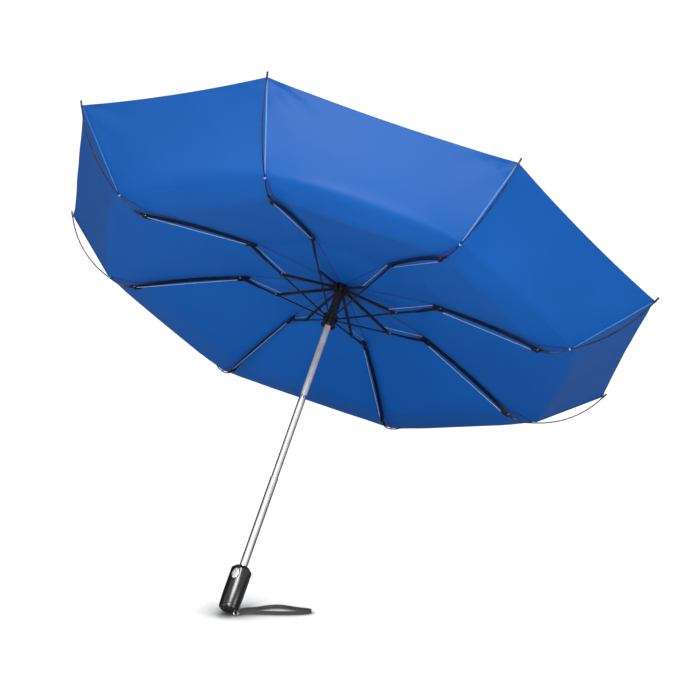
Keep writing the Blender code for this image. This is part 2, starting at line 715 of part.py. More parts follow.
def crown_mesh():
    """The notched hub that the top ribs hang on, with its sleeve and the ring wire through its teeth."""
    bore = UPPER_TUBE_RADIUS + GAP
    head = [(CROWN_TOP_RADIUS, CROWN_TOP), (CROWN_RADIUS, CROWN_SLOT_TOP), (CROWN_RADIUS, GAP - CROWN_BELOW)]
    sleeve_end = RUNNER_HEIGHT - CROWN_HEIGHT + RUNNER_SLEEVE_TOP + CROWN_RUNNER_GAP
    sleeve = [(CROWN_CORE_RADIUS, -CROWN_BELOW), (CROWN_CORE_RADIUS, sleeve_end)]
    inside = [(bore, sleeve_end), (bore, CROWN_TOP)]
    body = turned(inside + head + [(CROWN_RADIUS - GAP, -CROWN_BELOW)] + sleeve, HUB_SIDES)
    slot_width = CHANNEL_WIDTH + 2 * GAP
    slot_low = -CROWN_BELOW - OVERRUN
    notches = slots(CROWN_CORE_RADIUS, CROWN_RADIUS + OVERRUN, slot_width, slot_low, CROWN_SLOT_TOP)
    cut = carved(body, cuts=[notches])
    corner_radius = HUB_PIVOT_RADIUS / math.cos(math.pi / RIB_COUNT)
    corners = []
    for turn in range(RIB_COUNT):
        angle = 2 * math.pi * (turn + 0.5) / RIB_COUNT
        corners.append((corner_radius * math.cos(angle), corner_radius * math.sin(angle), 0))
    ring = rod(corners, [PIN_RADIUS] * RIB_COUNT, cyclic=True)
    return carved(cut, joined=[ring])


def runner_mesh():
    """The sleeve that slides on the shaft, notched right along for the stretchers, with a flange to push."""
    bore = RUNNER_BORE_RADIUS
    core = RUNNER_CORE_RADIUS
    head = RUNNER_HEAD_RADIUS
    fin = RUNNER_FIN_RADIUS
    flange = RUNNER_FLANGE_RADIUS
    profile = [
        (bore, -RUNNER_FOOT), (bore, RUNNER_SLEEVE_TOP), (core, RUNNER_SLEEVE_TOP),
        (core, RUNNER_HEAD_ABOVE), (head - GAP, RUNNER_HEAD_ABOVE), (head, RUNNER_HEAD_ABOVE - GAP),
        (head, -RUNNER_HEAD_BELOW), (fin, -RUNNER_HEAD_BELOW), (fin, GAP - RUNNER_FLANGE_TOP),
        (flange, -RUNNER_FLANGE_TOP), (flange, GAP - RUNNER_FOOT), (flange - GAP, -RUNNER_FOOT),
    ]
    low = -RUNNER_FOOT - OVERRUN
    high = RUNNER_HEAD_ABOVE + OVERRUN
    notches = slots(core, head + OVERRUN, RUNNER_SLOT_WIDTH, low, high)
    return carved(turned(profile, HUB_SIDES), cuts=[notches])


def cap_mesh():
    """The domed cap that holds the cloth down on the crown, with a stub in the shaft's mouth."""
    seat = CROWN_TOP + CLOTH_THICKNESS + 2 * GAP
    stub = UPPER_TUBE_RADIUS - TUBE_WALL - GAP
    rim = seat + CAP_RIM_HEIGHT
    foot = seat - CAP_STUB_LENGTH
    profile = [(0, foot), (stub, foot), (stub, seat), (CAP_RADIUS - GAP, seat), (CAP_RADIUS, seat + GAP)]
    for step in range(DOME_STEPS):
        angle = math.pi / 2 * step / DOME_STEPS
        profile.append((CAP_RADIUS * math.cos(angle), rim + (CAP_HEIGHT - CAP_RIM_HEIGHT) * math.sin(angle)))
    profile.append((0, seat + CAP_HEIGHT))
    return turned(profile, ROUND_SIDES)


# Handle

def squircle(radius):
    """A rounded square section: a circle drawn out towards its four corners."""
    outline = []
    for side in range(HANDLE_SIDES):
        angle = 2 * math.pi * (side + 0.5) / HANDLE_SIDES
        c, s = math.cos(angle), math.sin(angle)
        reach = (abs(c) ** HANDLE_SQUARENESS + abs(s) ** HANDLE_SQUARENESS) ** (-1 / HANDLE_SQUARENESS)
        outline.append((radius * reach * c, radius * reach * s))
    return outline


def lofted(stations):
    """A closed body through rounded square sections, given as (radius, height) from the bottom up."""
    work = bmesh.new()
    rings = [[work.verts.new((x, y, z)) for x, y in squircle(radius)] for radius, z in stations]
    for lower, upper in zip(rings, rings[1:]):
        for index in range(len(lower)):
            after = (index + 1) % len(lower)
            work.faces.new((lower[index], lower[after], upper[after], upper[index]))
    work.faces.new(rings[0])
    work.faces.new(rings[-1])
    return closed(work, "lofted")


def oval(width, length, depth_low, depth_high, crown=0.0):
    """An oval boss about the button's axis, +X outwards, its outer face raised by crown in the middle."""
    work = bmesh.new()
    rings = []
    levels = [(1, depth_low), (1, depth_high)]
    if crown:
        levels += [(share, depth_high + rise * crown) for share, rise in DOME_SHARES]
    for share, x in levels:
        ring = []
        for side in range(OVAL_SIDES):
            angle = 2 * math.pi * side / OVAL_SIDES
            y = share * width / 2 * math.cos(angle)
            z = share * length / 2 * math.sin(angle)
            ring.append(work.verts.new((x, y, z)))
        rings.append(ring)
    for lower, upper in zip(rings, rings[1:]):
        for index in range(OVAL_SIDES):
            after = (index + 1) % OVAL_SIDES
            work.faces.new((lower[index], lower[after], upper[after], upper[index]))
    work.faces.new(rings[0])
    work.faces.new(rings[-1])
    return closed(work, "oval")


def handle_mesh():
    """The grip: a rounded square body with a sloped top, bored for the shaft, cut on +X for the button."""
    top = HANDLE_LENGTH
    foot = END_CAP_HEIGHT + GAP
    shoulder = top - HANDLE_SHOULDER_DROP
    stations = [
        (HANDLE_FOOT_RADIUS, foot), (HANDLE_FOOT_RADIUS + GAP, foot + HANDLE_EDGE),
        (HANDLE_RADIUS, foot + (top - foot) / 3), (HANDLE_RADIUS, shoulder - HANDLE_EDGE),
        (HANDLE_RADIUS - HANDLE_EDGE / 2, shoulder), (HANDLE_NECK_RADIUS + HANDLE_EDGE, top - GAP),
        (HANDLE_NECK_RADIUS, top),
    ]
    hole = LOWER_TUBE_RADIUS + GAP
    mouth = top + OVERRUN
    bore = turned([(0, HANDLE_BORE_FOOT), (hole, HANDLE_BORE_FOOT), (hole, mouth), (0, mouth)], ROUND_SIDES)
    margin = 2 * BUTTON_RECESS_MARGIN
    clearance = 2 * BUTTON_CLEARANCE
    outside = HANDLE_RADIUS + OVERRUN
    floor = HANDLE_RADIUS - BUTTON_RECESS_DEPTH - BUTTON_FLOOR_GAP
    recess_floor = HANDLE_RADIUS - BUTTON_RECESS_MARGIN
    recess = oval(BUTTON_WIDTH + margin, BUTTON_LENGTH + margin, recess_floor, outside)
    well = oval(BUTTON_WIDTH + clearance, BUTTON_LENGTH + clearance, floor, outside)
    for cutter in (recess, well):
        cutter.transform(Matrix.Translation((0, 0, top - BUTTON_DROP)))
    return carved(lofted(stations), cuts=[bore, recess, well])


def end_cap_mesh():
    """The cap on the handle's end: a rounded edge, a rim round a flat face, a slot for the strap's eye."""
    radius = HANDLE_FOOT_RADIUS
    stations = []
    for step in range(END_CAP_STEPS + 1):
        angle = math.pi / 2 * step / END_CAP_STEPS
        inset = END_CAP_ROUND * (1 - math.sin(angle))
        stations.append((radius - inset, END_CAP_ROUND * (1 - math.cos(angle)) - END_CAP_LIP))
    body = lofted(stations + [(radius, END_CAP_HEIGHT)])
    face = radius - END_CAP_ROUND - END_CAP_RIM
    dish = lofted([(face, -END_CAP_LIP - OVERRUN), (face, 0)])
    reach = EYE_WIRE_RADIUS + GAP
    low = EYE_OFFSET - EYE_RADIUS - reach
    high = EYE_RADIUS + reach - EYE_DROP
    slot = block((low, HANDLE_RADIUS + OVERRUN), (-reach, reach), (-END_CAP_LIP - OVERRUN, high))
    slot.transform(Matrix.Rotation(-math.radians(HANDLE_TURN), 4, "Z"))
    return carved(body, cuts=[dish, slot])


def strap_eye_mesh():
    """A small round ring of wire in the end cap's slot, which the strap is looped through."""
    corners = []
    for step in range(EYE_STEPS):
        angle = 2 * math.pi * step / EYE_STEPS
        x = EYE_OFFSET + EYE_RADIUS * math.cos(angle)
        corners.append((x, 0, EYE_RADIUS * math.sin(angle) - EYE_DROP))
    return rod(corners, [EYE_WIRE_RADIUS] * EYE_STEPS, cyclic=True)


def strap_mesh():
    """The wrist strap: flat webbing on edge, a loop on the floor with both its ends at the eye."""
    route = [Vector(point) * MM - FLOOR_DEPTH * UP for point in STRAP_ROUTE]
    points = smooth_curve(route, STRAP_STEPS)
    work = bmesh.new()
    rings = []
    for index, point in enumerate(points):
        before = points[max(index - 1, 0)]
        after = points[min(index + 1, len(points) - 1)]
        forward = (after - before).normalized()
        side = forward.cross(UP).normalized()
        rise = side.cross(forward)
        corners = ((-1, -1), (1, -1), (1, 1), (-1, 1))
        ring = [
            work.verts.new(point + side * (a * STRAP_THICKNESS / 2) + rise * (b * STRAP_WIDTH / 2))
            for a, b in corners
        ]
        rings.append(ring)
    for here, there in zip(rings, rings[1:]):
        for index in range(len(here)):
            after = (index + 1) % len(here)
            work.faces.new((here[index], here[after], there[after], there[index]))
    work.faces.new(rings[0])
    work.faces.new(rings[-1])
    return closed(work, "strap")


# Assembly

def place_of(point, droop=0.0):
    """Location and rotation in a rib's plane, for a member that droops by an angle in degrees."""
    return {"location": (point[0], 0, point[1]), "rotation": (0, math.radians(droop), 0)}


def build_ribs(root):
    top_rib = top_rib_mesh()
    stretcher = stretcher_mesh()
    middle_rib = middle_rib_mesh()
    end_joint = end_joint_mesh()
    outer_rib = outer_rib_mesh()
    skirt_panel = skirt_panel_mesh()
    gore = 2 * math.pi / RIB_COUNT
    crease = (CLOTH_TIE[0] * math.cos(gore / 2), CLOTH_TIE[1])
    for number in range(1, RIB_COUNT + 1):
        turn = gore * (number - 1)
        plane = empty(f"rib_plane_{number}", root, (0, 0, turn))
        add(f"top_rib_{number}", top_rib, rib_steel, plane, **place_of(CROWN_PIVOT, OPEN_DROOP))
        inner_end = (HUB_PIVOT_RADIUS, RUNNER_HEIGHT)
        holder = empty(f"stretcher_pivot_{number}", plane)
        holder.location = (STRETCHER_PIVOT[0], 0, STRETCHER_PIVOT[1])
        offset = place_of((inner_end[0] - STRETCHER_PIVOT[0], inner_end[1] - STRETCHER_PIVOT[1]), -OPEN_DROOP)
        add(f"stretcher_{number}", stretcher, rib_steel, holder, **offset)
        add(f"middle_rib_{number}", middle_rib, rib_steel, plane, **place_of(MIDDLE_PIVOT, MIDDLE_RIB_DROOP))
        add(f"end_joint_{number}", end_joint, wire_steel, plane, **place_of(END_PIVOT))
        add(f"outer_rib_{number}", outer_rib, wire_steel, plane, **place_of(FLIP_AXIS))
        between = empty(f"gore_plane_{number}", root, (0, 0, turn + gore / 2))
        add(f"skirt_panel_{number}", skirt_panel, cloth, between, **place_of(crease))


def build_shaft(root):
    middle_high = CROWN_HEIGHT * (1 - UPPER_TUBE_SHARE)
    lower_high = middle_high - CROWN_HEIGHT * MIDDLE_TUBE_SHARE
    upper_low = middle_high - TUBE_OVERLAP
    middle_low = lower_high - TUBE_OVERLAP
    upper_high = CROWN_HEIGHT + CROWN_TOP + CLOTH_THICKNESS + GAP
    add("upper_tube", plain_tube_mesh(UPPER_TUBE_RADIUS, upper_low, upper_high), chrome, root)
    add("middle_tube", tube_mesh(MIDDLE_TUBE_RADIUS, middle_low, middle_high), chrome, root)
    add("lower_tube", tube_mesh(LOWER_TUBE_RADIUS, LOWER_TUBE_FOOT, lower_high), chrome, root)
    crown_place = {"location": (0, 0, CROWN_HEIGHT)}
    add("crown", crown_mesh(), black_plastic, root, **crown_place)
    add("top_cap", cap_mesh(), black_plastic, root, **crown_place)
    add("canopy_centre", canopy_centre_mesh(), cloth, root)
    add("runner", runner_mesh(), black_plastic, root, location=(0, 0, RUNNER_HEIGHT))


def build_handle(root):
    turn = math.radians(HANDLE_TURN - RIB_PHASE)
    add("handle", handle_mesh(), black_plastic, root, rotation=(0, 0, turn))
    add("end_cap", end_cap_mesh(), black_plastic, root, rotation=(0, 0, turn))
    out = HANDLE_RADIUS - BUTTON_SINK
    place = (out * math.cos(turn), out * math.sin(turn), HANDLE_LENGTH - BUTTON_DROP)
    button = oval(BUTTON_WIDTH, BUTTON_LENGTH, BUTTON_SINK - BUTTON_RECESS_DEPTH, 0, BUTTON_CROWN)
    add("button", button, silver_plastic, root, location=place, rotation=(0, 0, turn))
    add("strap_eye", strap_eye_mesh(), silver_plastic, root, rotation=(0, 0, -math.radians(RIB_PHASE)))


def main():
    for old in list(bpy.data.objects):
        bpy.data.objects.remove(old)
    lean = empty("lean", None, (0, math.radians(LEAN), math.radians(HEADING)))
    root = empty("umbrella", lean, (0, 0, math.radians(SPIN + RIB_PHASE)))
    build_shaft(root)
    build_handle(root)
    build_ribs(root)
    add("strap", strap_mesh(), webbing, None)
    bpy.context.view_layer.update()


main()
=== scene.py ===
"""Looks for the inverted umbrella: cloth, strap, small fittings, materials, floor, light and camera."""

import math

import bmesh
import bpy
from mathutils import Matrix, Vector, noise


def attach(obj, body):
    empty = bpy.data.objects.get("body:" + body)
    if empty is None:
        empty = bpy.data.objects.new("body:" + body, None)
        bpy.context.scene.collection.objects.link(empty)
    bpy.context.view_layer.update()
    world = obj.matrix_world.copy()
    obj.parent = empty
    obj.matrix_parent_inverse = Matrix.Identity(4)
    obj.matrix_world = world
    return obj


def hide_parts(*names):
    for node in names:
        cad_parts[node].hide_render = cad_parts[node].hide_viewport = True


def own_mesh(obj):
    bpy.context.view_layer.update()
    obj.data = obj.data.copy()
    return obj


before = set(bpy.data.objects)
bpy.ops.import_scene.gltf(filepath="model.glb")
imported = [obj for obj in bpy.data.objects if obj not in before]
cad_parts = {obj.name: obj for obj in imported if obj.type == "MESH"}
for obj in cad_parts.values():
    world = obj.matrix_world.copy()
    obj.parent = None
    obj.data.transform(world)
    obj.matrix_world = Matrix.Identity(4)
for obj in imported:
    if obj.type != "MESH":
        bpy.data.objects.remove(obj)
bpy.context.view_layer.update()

MM = 0.001
RIB_COUNT = 8
RIBS = range(1, RIB_COUNT + 1)
GORE = 2 * math.pi / RIB_COUNT
HALF = GORE / 2

# The shaft's lean in degrees, and a rib's linkage in millimetres and degrees, as in the CAD model
LEAN, HEADING, SPIN, PHASE = 39.2, 61.8, -67.4, 30.0
CROWN_HEIGHT = 582.0
HUB_RADIUS = 10.2
TOP_RIB, DROOP = 100.0, 15.8
OUTER_STRETCHER = 73.5
MIDDLE_RIB, MIDDLE_DROOP, MIDDLE_ARCH, TAIL = 184.5, 14.5, 3.8, 14.0
TIE_REACH, TIE_RISE = 54.0, 11.3
SKIRT, SKIRT_RISE = 152.0, 44.3
FLOOR_Z = -8.4 * MM

LOCAL = (
    Matrix.Rotation(math.radians(HEADING), 4, "Z")
    @ Matrix.Rotation(math.radians(LEAN), 4, "Y")
    @ Matrix.Rotation(math.radians(SPIN), 4, "Z")
)
SHAFT = (LOCAL.to_3x3() @ Vector((0, 0, 1))).normalized()


def rib_matrix(number, half=0.0):
    """The frame of a rib's plane, turned on by a share of a gore: X outwards, Y towards the next rib, Z up
    the shaft, with its origin at the handle's end."""
    return LOCAL @ Matrix.Rotation(math.radians(PHASE) + GORE * (number - 1 + half), 4, "Z")


def neighbour(number, steps):
    """The number of the rib that many places further round."""
    return (number - 1 + steps) % RIB_COUNT + 1


def along(start, length, rise):
    """The point (X, Z) of a rib's plane at a length from another, with a rise in degrees."""
    angle = math.radians(rise)
    return (start[0] + length * math.cos(angle), start[1] + length * math.sin(angle))


def direction(rise):
    """The direction in a rib's plane that rises by so many degrees."""
    angle = math.radians(rise)
    return Vector((math.cos(angle), 0, math.sin(angle)))


def upright(way):
    """The direction a quarter turn up from another in a rib's plane."""
    return Vector((-way.z, 0, way.x))


def in_plane(point, y=0.0):
    """A point (X, Z) of a rib's plane in metres, y millimetres to its side."""
    return Vector((point[0], y, point[1])) * MM


CROWN = (HUB_RADIUS, CROWN_HEIGHT)
P1 = along(CROWN, TOP_RIB, -DROOP)
P2 = along(P1, OUTER_STRETCHER, DROOP)
P3 = along(P2, MIDDLE_RIB, -MIDDLE_DROOP)
TIE = along(P3, TIE_REACH, TIE_RISE)
CORNER = along(TIE, SKIRT, SKIRT_RISE)


def spline(a, b, c, d, t):
    """The place at a share of the way from b to c on a Catmull-Rom curve, of numbers or vectors."""
    return b + ((c - a) * t + (2 * a - 5 * b + 4 * c - d) * t ** 2 + (3 * b - a - 3 * c + d) * t ** 3) / 2


# Materials


class Nodes:
    """Builds the nodes of one material or world."""

    def __init__(self, owner):
        owner.use_nodes = True
        self.owner = owner
        self.tree = owner.node_tree
        self.shader = self.tree.nodes.get("Principled BSDF")

    def add(self, kind, **values):
        node = self.tree.nodes.new(kind)
        for key, value in values.items():
            if key in node.inputs:
                node.inputs[key].default_value = value
            else:
                setattr(node, key, value)
        return node

    def link(self, source, target):
        self.tree.links.new(source, target)

    def feed(self, socket, value):
        """Links a socket to another, or gives it a value."""
        if isinstance(value, bpy.types.NodeSocket):
            self.link(value, socket)
        else:
            socket.default_value = value

    def set(self, **values):
        for key, value in values.items():
            self.shader.inputs[key.replace("_", " ")].default_value = value

    def coords(self, scale=(1.0, 1.0, 1.0), kind="Object"):
        mapping = self.add("ShaderNodeMapping", Scale=scale)
        self.link(self.add("ShaderNodeTexCoord").outputs[kind], mapping.inputs["Vector"])
        return mapping.outputs["Vector"]

    def noise(self, vector, scale, detail, roughness=0.5):
        node = self.add("ShaderNodeTexNoise", Scale=scale, Detail=detail, Roughness=roughness)
        self.link(vector, node.inputs["Vector"])
        return node.outputs["Fac"]

    def ramp(self, source, stops):
        """A ramp over places with colours, or with plain values."""
        node = self.add("ShaderNodeValToRGB")
        elements = node.color_ramp.elements
        while len(elements) < len(stops):
            elements.new(0.5)
        for element, (place, colour) in zip(elements, stops):
            element.position = place
            element.color = (*colour, 1) if isinstance(colour, tuple) else (colour, colour, colour, 1)
        self.link(source, node.inputs["Fac"])
        return node.outputs["Color"]

    def math(self, operation, *values):
        node = self.add("ShaderNodeMath", operation=operation)
        for socket, value in zip(node.inputs, values):
            self.feed(socket, value)
        return node.outputs[0]

    def mix(self, factor, a, b):
        """A blend of two colours."""
        node = self.add("ShaderNodeMix", data_type="RGBA")
        for socket, value in ((node.inputs[0], factor), (node.inputs[6], a), (node.inputs[7], b)):
            self.feed(socket, (*value, 1) if isinstance(value, tuple) else value)
        return node.outputs[2]

    def choose(self, factor, a, b):
        """A blend of two shaders."""
        node = self.add("ShaderNodeMixShader")
        for socket, source in zip(node.inputs, (factor, a, b)):
            self.link(source, socket)
        return node.outputs[0]

    def bump(self, height, strength, distance):
        node = self.add("ShaderNodeBump", Strength=strength, Distance=distance)
        self.link(height, node.inputs["Height"])
        return node.outputs["Normal"]

    def done(self, colour, roughness, normal):
        for value, name in ((colour, "Base Color"), (roughness, "Roughness"), (normal, "Normal")):
            self.link(value, self.shader.inputs[name])
        return self.owner


def srgb(r, g, b):
    """Linear colour from 0-255 sRGB."""
    return tuple((c / 255 / 12.92) if c <= 10 else ((c / 255 + 0.055) / 1.055) ** 2.4 for c in (r, g, b))


def surface(name, fine, colour, rough, bump, broad=None, **shader):
    """A material with a fine noise as its bump. A noise is its scale per metre, its detail and, if it isn't
    0.5, its roughness. Colour and roughness each name the noise they follow, and give their stops along it.
    A bump is its strength and its depth in metres."""
    n = Nodes(bpy.data.materials.new(name))
    place = n.coords()
    noises = {"fine": n.noise(place, *fine), "broad": n.noise(place, *broad) if broad else None}
    ramps = [n.ramp(noises[which], stops) for which, *stops in (colour, rough)]
    n.set(**shader)
    return n.done(*ramps, n.bump(noises["fine"], *bump))


# Black paint on steel: faint orange peel, duller patches and a little bare metal worn through
RIB_PAINT = surface(
    "rib_paint", fine=(900.0, 2.0), broad=(60.0, 4.0), bump=(0.12, 0.0002),
    colour=("broad", (0.3, srgb(10, 9, 11)), (0.62, srgb(22, 20, 22)), (0.78, srgb(52, 40, 36))),
    rough=("broad", (0.25, 0.24), (0.8, 0.42)),
    Metallic=0.0, Specular_IOR_Level=0.5, Coat_Weight=0.15, Coat_Roughness=0.25,
)
# Dark drawn wire with fine lengthwise scratches and brown heat tint
WIRE = surface(
    "wire_steel", fine=(1400.0, 2.0), broad=(45.0, 3.0), bump=(0.1, 0.0001),
    colour=("broad", (0.3, srgb(46, 40, 38)), (0.7, srgb(88, 76, 68))),
    rough=("fine", (0.2, 0.26), (0.8, 0.4)), Metallic=0.8,
)
# Thin bright wire of the links, and the pale coat of the control wires
PALE_WIRE = surface(
    "pale_wire", fine=(1100.0, 2.0), bump=(0.1, 0.0001),
    colour=("fine", (0.3, srgb(120, 140, 172)), (0.7, srgb(176, 190, 212))),
    rough=("fine", (0.2, 0.25), (0.8, 0.4)), Metallic=0.35,
)
# Polished chrome with faint drawing lines and a trace of handling
CHROME = surface(
    "shaft_chrome", fine=(1600.0, 2.0), broad=(55.0, 4.0, 0.6), bump=(0.03, 0.00005),
    colour=("broad", (0.3, srgb(206, 204, 202)), (0.75, srgb(232, 231, 229))),
    rough=("broad", (0.3, 0.05), (0.8, 0.13)), Metallic=1.0,
)
# The innermost tube: warmer and duller, with the grease it slides in
INNER_CHROME = surface(
    "inner_tube_chrome", fine=(1500.0, 2.0), broad=(70.0, 4.0, 0.6), bump=(0.05, 0.00005),
    colour=("broad", (0.3, srgb(170, 163, 156)), (0.75, srgb(206, 199, 192))),
    rough=("broad", (0.3, 0.18), (0.8, 0.3)), Metallic=0.35,
)
# Glossy black moulding with a few hairline scratches in its polish
GLOSS = surface(
    "handle_gloss", fine=(1500.0, 2.0), broad=(70.0, 5.0, 0.6), bump=(0.04, 0.00008),
    colour=("broad", (0.3, srgb(7, 7, 8)), (0.8, srgb(15, 15, 16))),
    rough=("broad", (0.3, 0.22), (0.8, 0.3)), Specular_IOR_Level=0.4, Coat_Weight=0.2, Coat_Roughness=0.2,
)
# Black nylon moulding with a fine spark texture
HUB = surface(
    "hub_plastic", fine=(1300.0, 3.0), broad=(80.0, 3.0), bump=(0.2, 0.0001),
    colour=("broad", (0.3, srgb(9, 9, 10)), (0.8, srgb(24, 23, 24))),
    rough=("fine", (0.2, 0.34), (0.8, 0.52)),
)
# Silver coating with fine metal flake
SILVER = surface(
    "button_silver", fine=(2600.0, 1.0), broad=(220.0, 4.0), bump=(0.05, 0.00004),
    colour=("fine", (0.35, srgb(138, 139, 141)), (0.7, srgb(184, 185, 187))),
    rough=("broad", (0.3, 0.24), (0.8, 0.4)), Metallic=0.6, Coat_Weight=0.3, Coat_Roughness=0.1,
)
# Pale twisted thread
THREAD = surface(
    "tie_thread", fine=(2200.0, 2.0), bump=(0.4, 0.0001),
    colour=("fine", (0.3, srgb(110, 156, 220)), (0.7, srgb(176, 204, 238))),
    rough=("fine", (0.3, 0.5), (0.7, 0.7)),
)
# The bound edge over the outer wires: paler, tightly ribbed cloth
PIPING = surface(
    "seam_piping", fine=(1500.0, 2.0), bump=(0.3, 0.0001),
    colour=("fine", (0.3, srgb(38, 100, 184)), (0.7, srgb(78, 138, 212))),
    rough=("fine", (0.3, 0.4), (0.7, 0.55)),
)
# Rivet heads with their paint rubbed off to warm metal
RIVET = surface(
    "rivet_steel", fine=(420.0, 3.0), bump=(0.1, 0.0001),
    colour=("fine", (0.35, srgb(40, 36, 34)), (0.6, srgb(168, 158, 138))),
    rough=("fine", (0.3, 0.22), (0.7, 0.36)), Metallic=0.85,
)

# The cloth's colours, and in metres the pitches of weaves and stitches, how far seam and piping reach from a
# rib, and how far from the crown the skirt starts
CLOTH_DEEP, CLOTH_LIGHT, CLOTH_THREAD = srgb(3, 73, 147), srgb(4, 77, 153), srgb(10, 89, 168)
CLOTH_SEAM, CLOTH_PIPING = srgb(38, 34, 116), srgb(74, 134, 208)
CLOTH_PITCH, STRAP_PITCH, STITCH_PITCH = 0.9 * MM, 1.0 * MM, 2.6 * MM
SEAM_REACH, PIPING_REACH = 1.8 * MM, 1.1 * MM
SKIRT_STARTS = 0.412
# How strongly threads, seam and piping tint the cloth, what stitches add, and the sine above which they show
THREAD_TINT, SEAM_TINT, PIPING_TINT, STITCH_TINT, STITCH_ABOVE = 0.12, 0.75, 0.35, 0.25, -0.3


def weave(n, pitch):
    """Plain weave, two sets of ribs at right angles: its height, and the cloth's coordinates in metres."""
    split = n.add("ShaderNodeSeparateXYZ")
    n.link(n.add("ShaderNodeUVMap", uv_map="cloth").outputs[0], split.inputs[0])
    across, down, _ = split.outputs
    warp, weft = (n.math("SINE", n.math("MULTIPLY", axis, 2 * math.pi / pitch)) for axis in (across, down))
    return n.math("ADD", n.math("MULTIPLY", warp, weft), 1.0), across, down


def canopy_cloth():
    """Blue woven polyester. The UV map holds the distance from the nearest rib seam and from the crown. The
    seam is a dark turned-in edge over the ribs and pale piping along the outer wires."""
    n = Nodes(bpy.data.materials.new("canopy_cloth"))
    height, away, down = weave(n, CLOTH_PITCH)
    cloudy = n.noise(n.coords(), 5.0, 3.0)
    threads = n.noise(n.coords((260.0, 9.0, 1.0), "UV"), 4.0, 3.0)
    base = n.ramp(cloudy, [(0.35, CLOTH_DEEP), (0.65, CLOTH_LIGHT)])
    base = n.mix(n.math("MULTIPLY", threads, THREAD_TINT), base, CLOTH_THREAD)
    skirt = n.math("GREATER_THAN", down, SKIRT_STARTS)
    seam = n.math("MULTIPLY", n.math("LESS_THAN", away, SEAM_REACH), n.math("SUBTRACT", 1.0, skirt))
    base = n.mix(n.math("MULTIPLY", seam, SEAM_TINT), base, CLOTH_SEAM)
    piping = n.math("MULTIPLY", n.math("LESS_THAN", away, PIPING_REACH), skirt)
    turn = n.math("SINE", n.math("MULTIPLY", down, 2 * math.pi / STITCH_PITCH))
    stitch = n.math("MULTIPLY", n.math("GREATER_THAN", turn, STITCH_ABOVE), STITCH_TINT)
    tint = n.math("ADD", stitch, PIPING_TINT)
    base = n.mix(n.math("MULTIPLY", piping, tint), base, CLOTH_PIPING)
    n.set(Specular_IOR_Level=0.22, Specular_Tint=(0.8, 0.9, 1.0, 1))
    return n.done(base, n.ramp(cloudy, [(0.3, 0.38), (0.7, 0.44)]), n.bump(height, 0.10, 0.00006))


def strap_cloth():
    """Dark grey webbing with a visible rib across it."""
    n = Nodes(bpy.data.materials.new("strap_webbing"))
    height, _, _ = weave(n, STRAP_PITCH)
    fuzz = n.noise(n.coords(), 900.0, 3.0)
    colour = n.ramp(fuzz, [(0.3, srgb(21, 21, 22)), (0.7, srgb(38, 38, 40))])
    n.set(Sheen_Weight=0.05, Sheen_Roughness=0.5)
    return n.done(colour, n.ramp(fuzz, [(0.3, 0.55), (0.7, 0.75)]), n.bump(height, 0.5, 0.0002))


CANOPY = canopy_cloth()
STRAP = strap_cloth()

# CAD nodes that stay, with their materials
CARRIED = {
    "upper_tube": INNER_CHROME, "middle_tube": CHROME, "lower_tube": CHROME, "crown": HUB, "runner": HUB,
    "top_cap": HUB, "handle": GLOSS, "end_cap": GLOSS, "button": SILVER, "strap_eye": CHROME,
}
for number in RIBS:
    for stem in ("top_rib", "stretcher", "middle_rib"):
        CARRIED[f"{stem}_{number}"] = RIB_PAINT
    for stem in ("end_joint", "outer_rib"):
        CARRIED[f"{stem}_{number}"] = WIRE

# Vertices closer than this share a place, and facets that meet at a smaller angle than this share a normal
MERGE_REACH = 0.01 * MM
SMOOTH_BELOW = math.radians(38.0)
# How squarely a facet of the grip faces away from the shaft to be rounded, and by what share it then is
ROUND_ABOVE = 0.75
ROUND_SHARE = 0.8


def softened(mesh):
    """A normal for each loop, smooth across facets that meet at a small angle. The shape stays as it is."""
    corners = {}
    for polygon in mesh.polygons:
        around = [mesh.vertices[index].co for index in polygon.vertices]
        for step, loop in enumerate(polygon.loop_indices):
            before, here, after = around[step - 1], around[step], around[(step + 1) % len(around)]
            spot = tuple(round(value / MERGE_REACH) for value in here)
            share = (before - here).angle(after - here, 0.0)
            corners.setdefault(spot, []).append((loop, polygon.normal.copy(), share))
    normals = [None] * len(mesh.loops)
    nearly = math.cos(SMOOTH_BELOW)
    for group in corners.values():
        for loop, normal, _ in group:
            total = Vector()
            for _, other, share in group:
                if normal.dot(other) > nearly:
                    total += other * share
            normals[loop] = total.normalized() if total.length > 0 else normal
    return normals


def round_off(mesh, normals):
    """Shades the grip's soft square section as round as its rubbed gloss looks, but not its recesses."""
    for polygon in mesh.polygons:
        for loop, index in zip(polygon.loop_indices, polygon.vertices):
            place = mesh.vertices[index].co
            radial = place - SHAFT * place.dot(SHAFT)
            if radial.length == 0 or polygon.normal.dot(radial.normalized()) < ROUND_ABOVE:
                continue
            rise = normals[loop].dot(SHAFT)
            level = radial.normalized() * math.sqrt(max(0.0, 1 - rise * rise))
            own = normals[loop] - SHAFT * rise
            normals[loop] = (level * ROUND_SHARE + own * (1 - ROUND_SHARE) + SHAFT * rise).normalized()


for node, finish in CARRIED.items():
    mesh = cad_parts[node].data
    mesh.materials.clear()
    mesh.materials.append(finish)
    shading = softened(mesh)
    if finish == GLOSS:
        round_off(mesh, shading)
    for polygon in mesh.polygons:
        polygon.use_smooth = True
    mesh.normals_split_custom_set([tuple(normal) for normal in shading])

# Mesh helpers

TUBE_SHARP, STRAP_SHARP = math.radians(50), math.radians(60)
# The length of two directions' cross product below which they count as parallel
PARALLEL = 1e-4


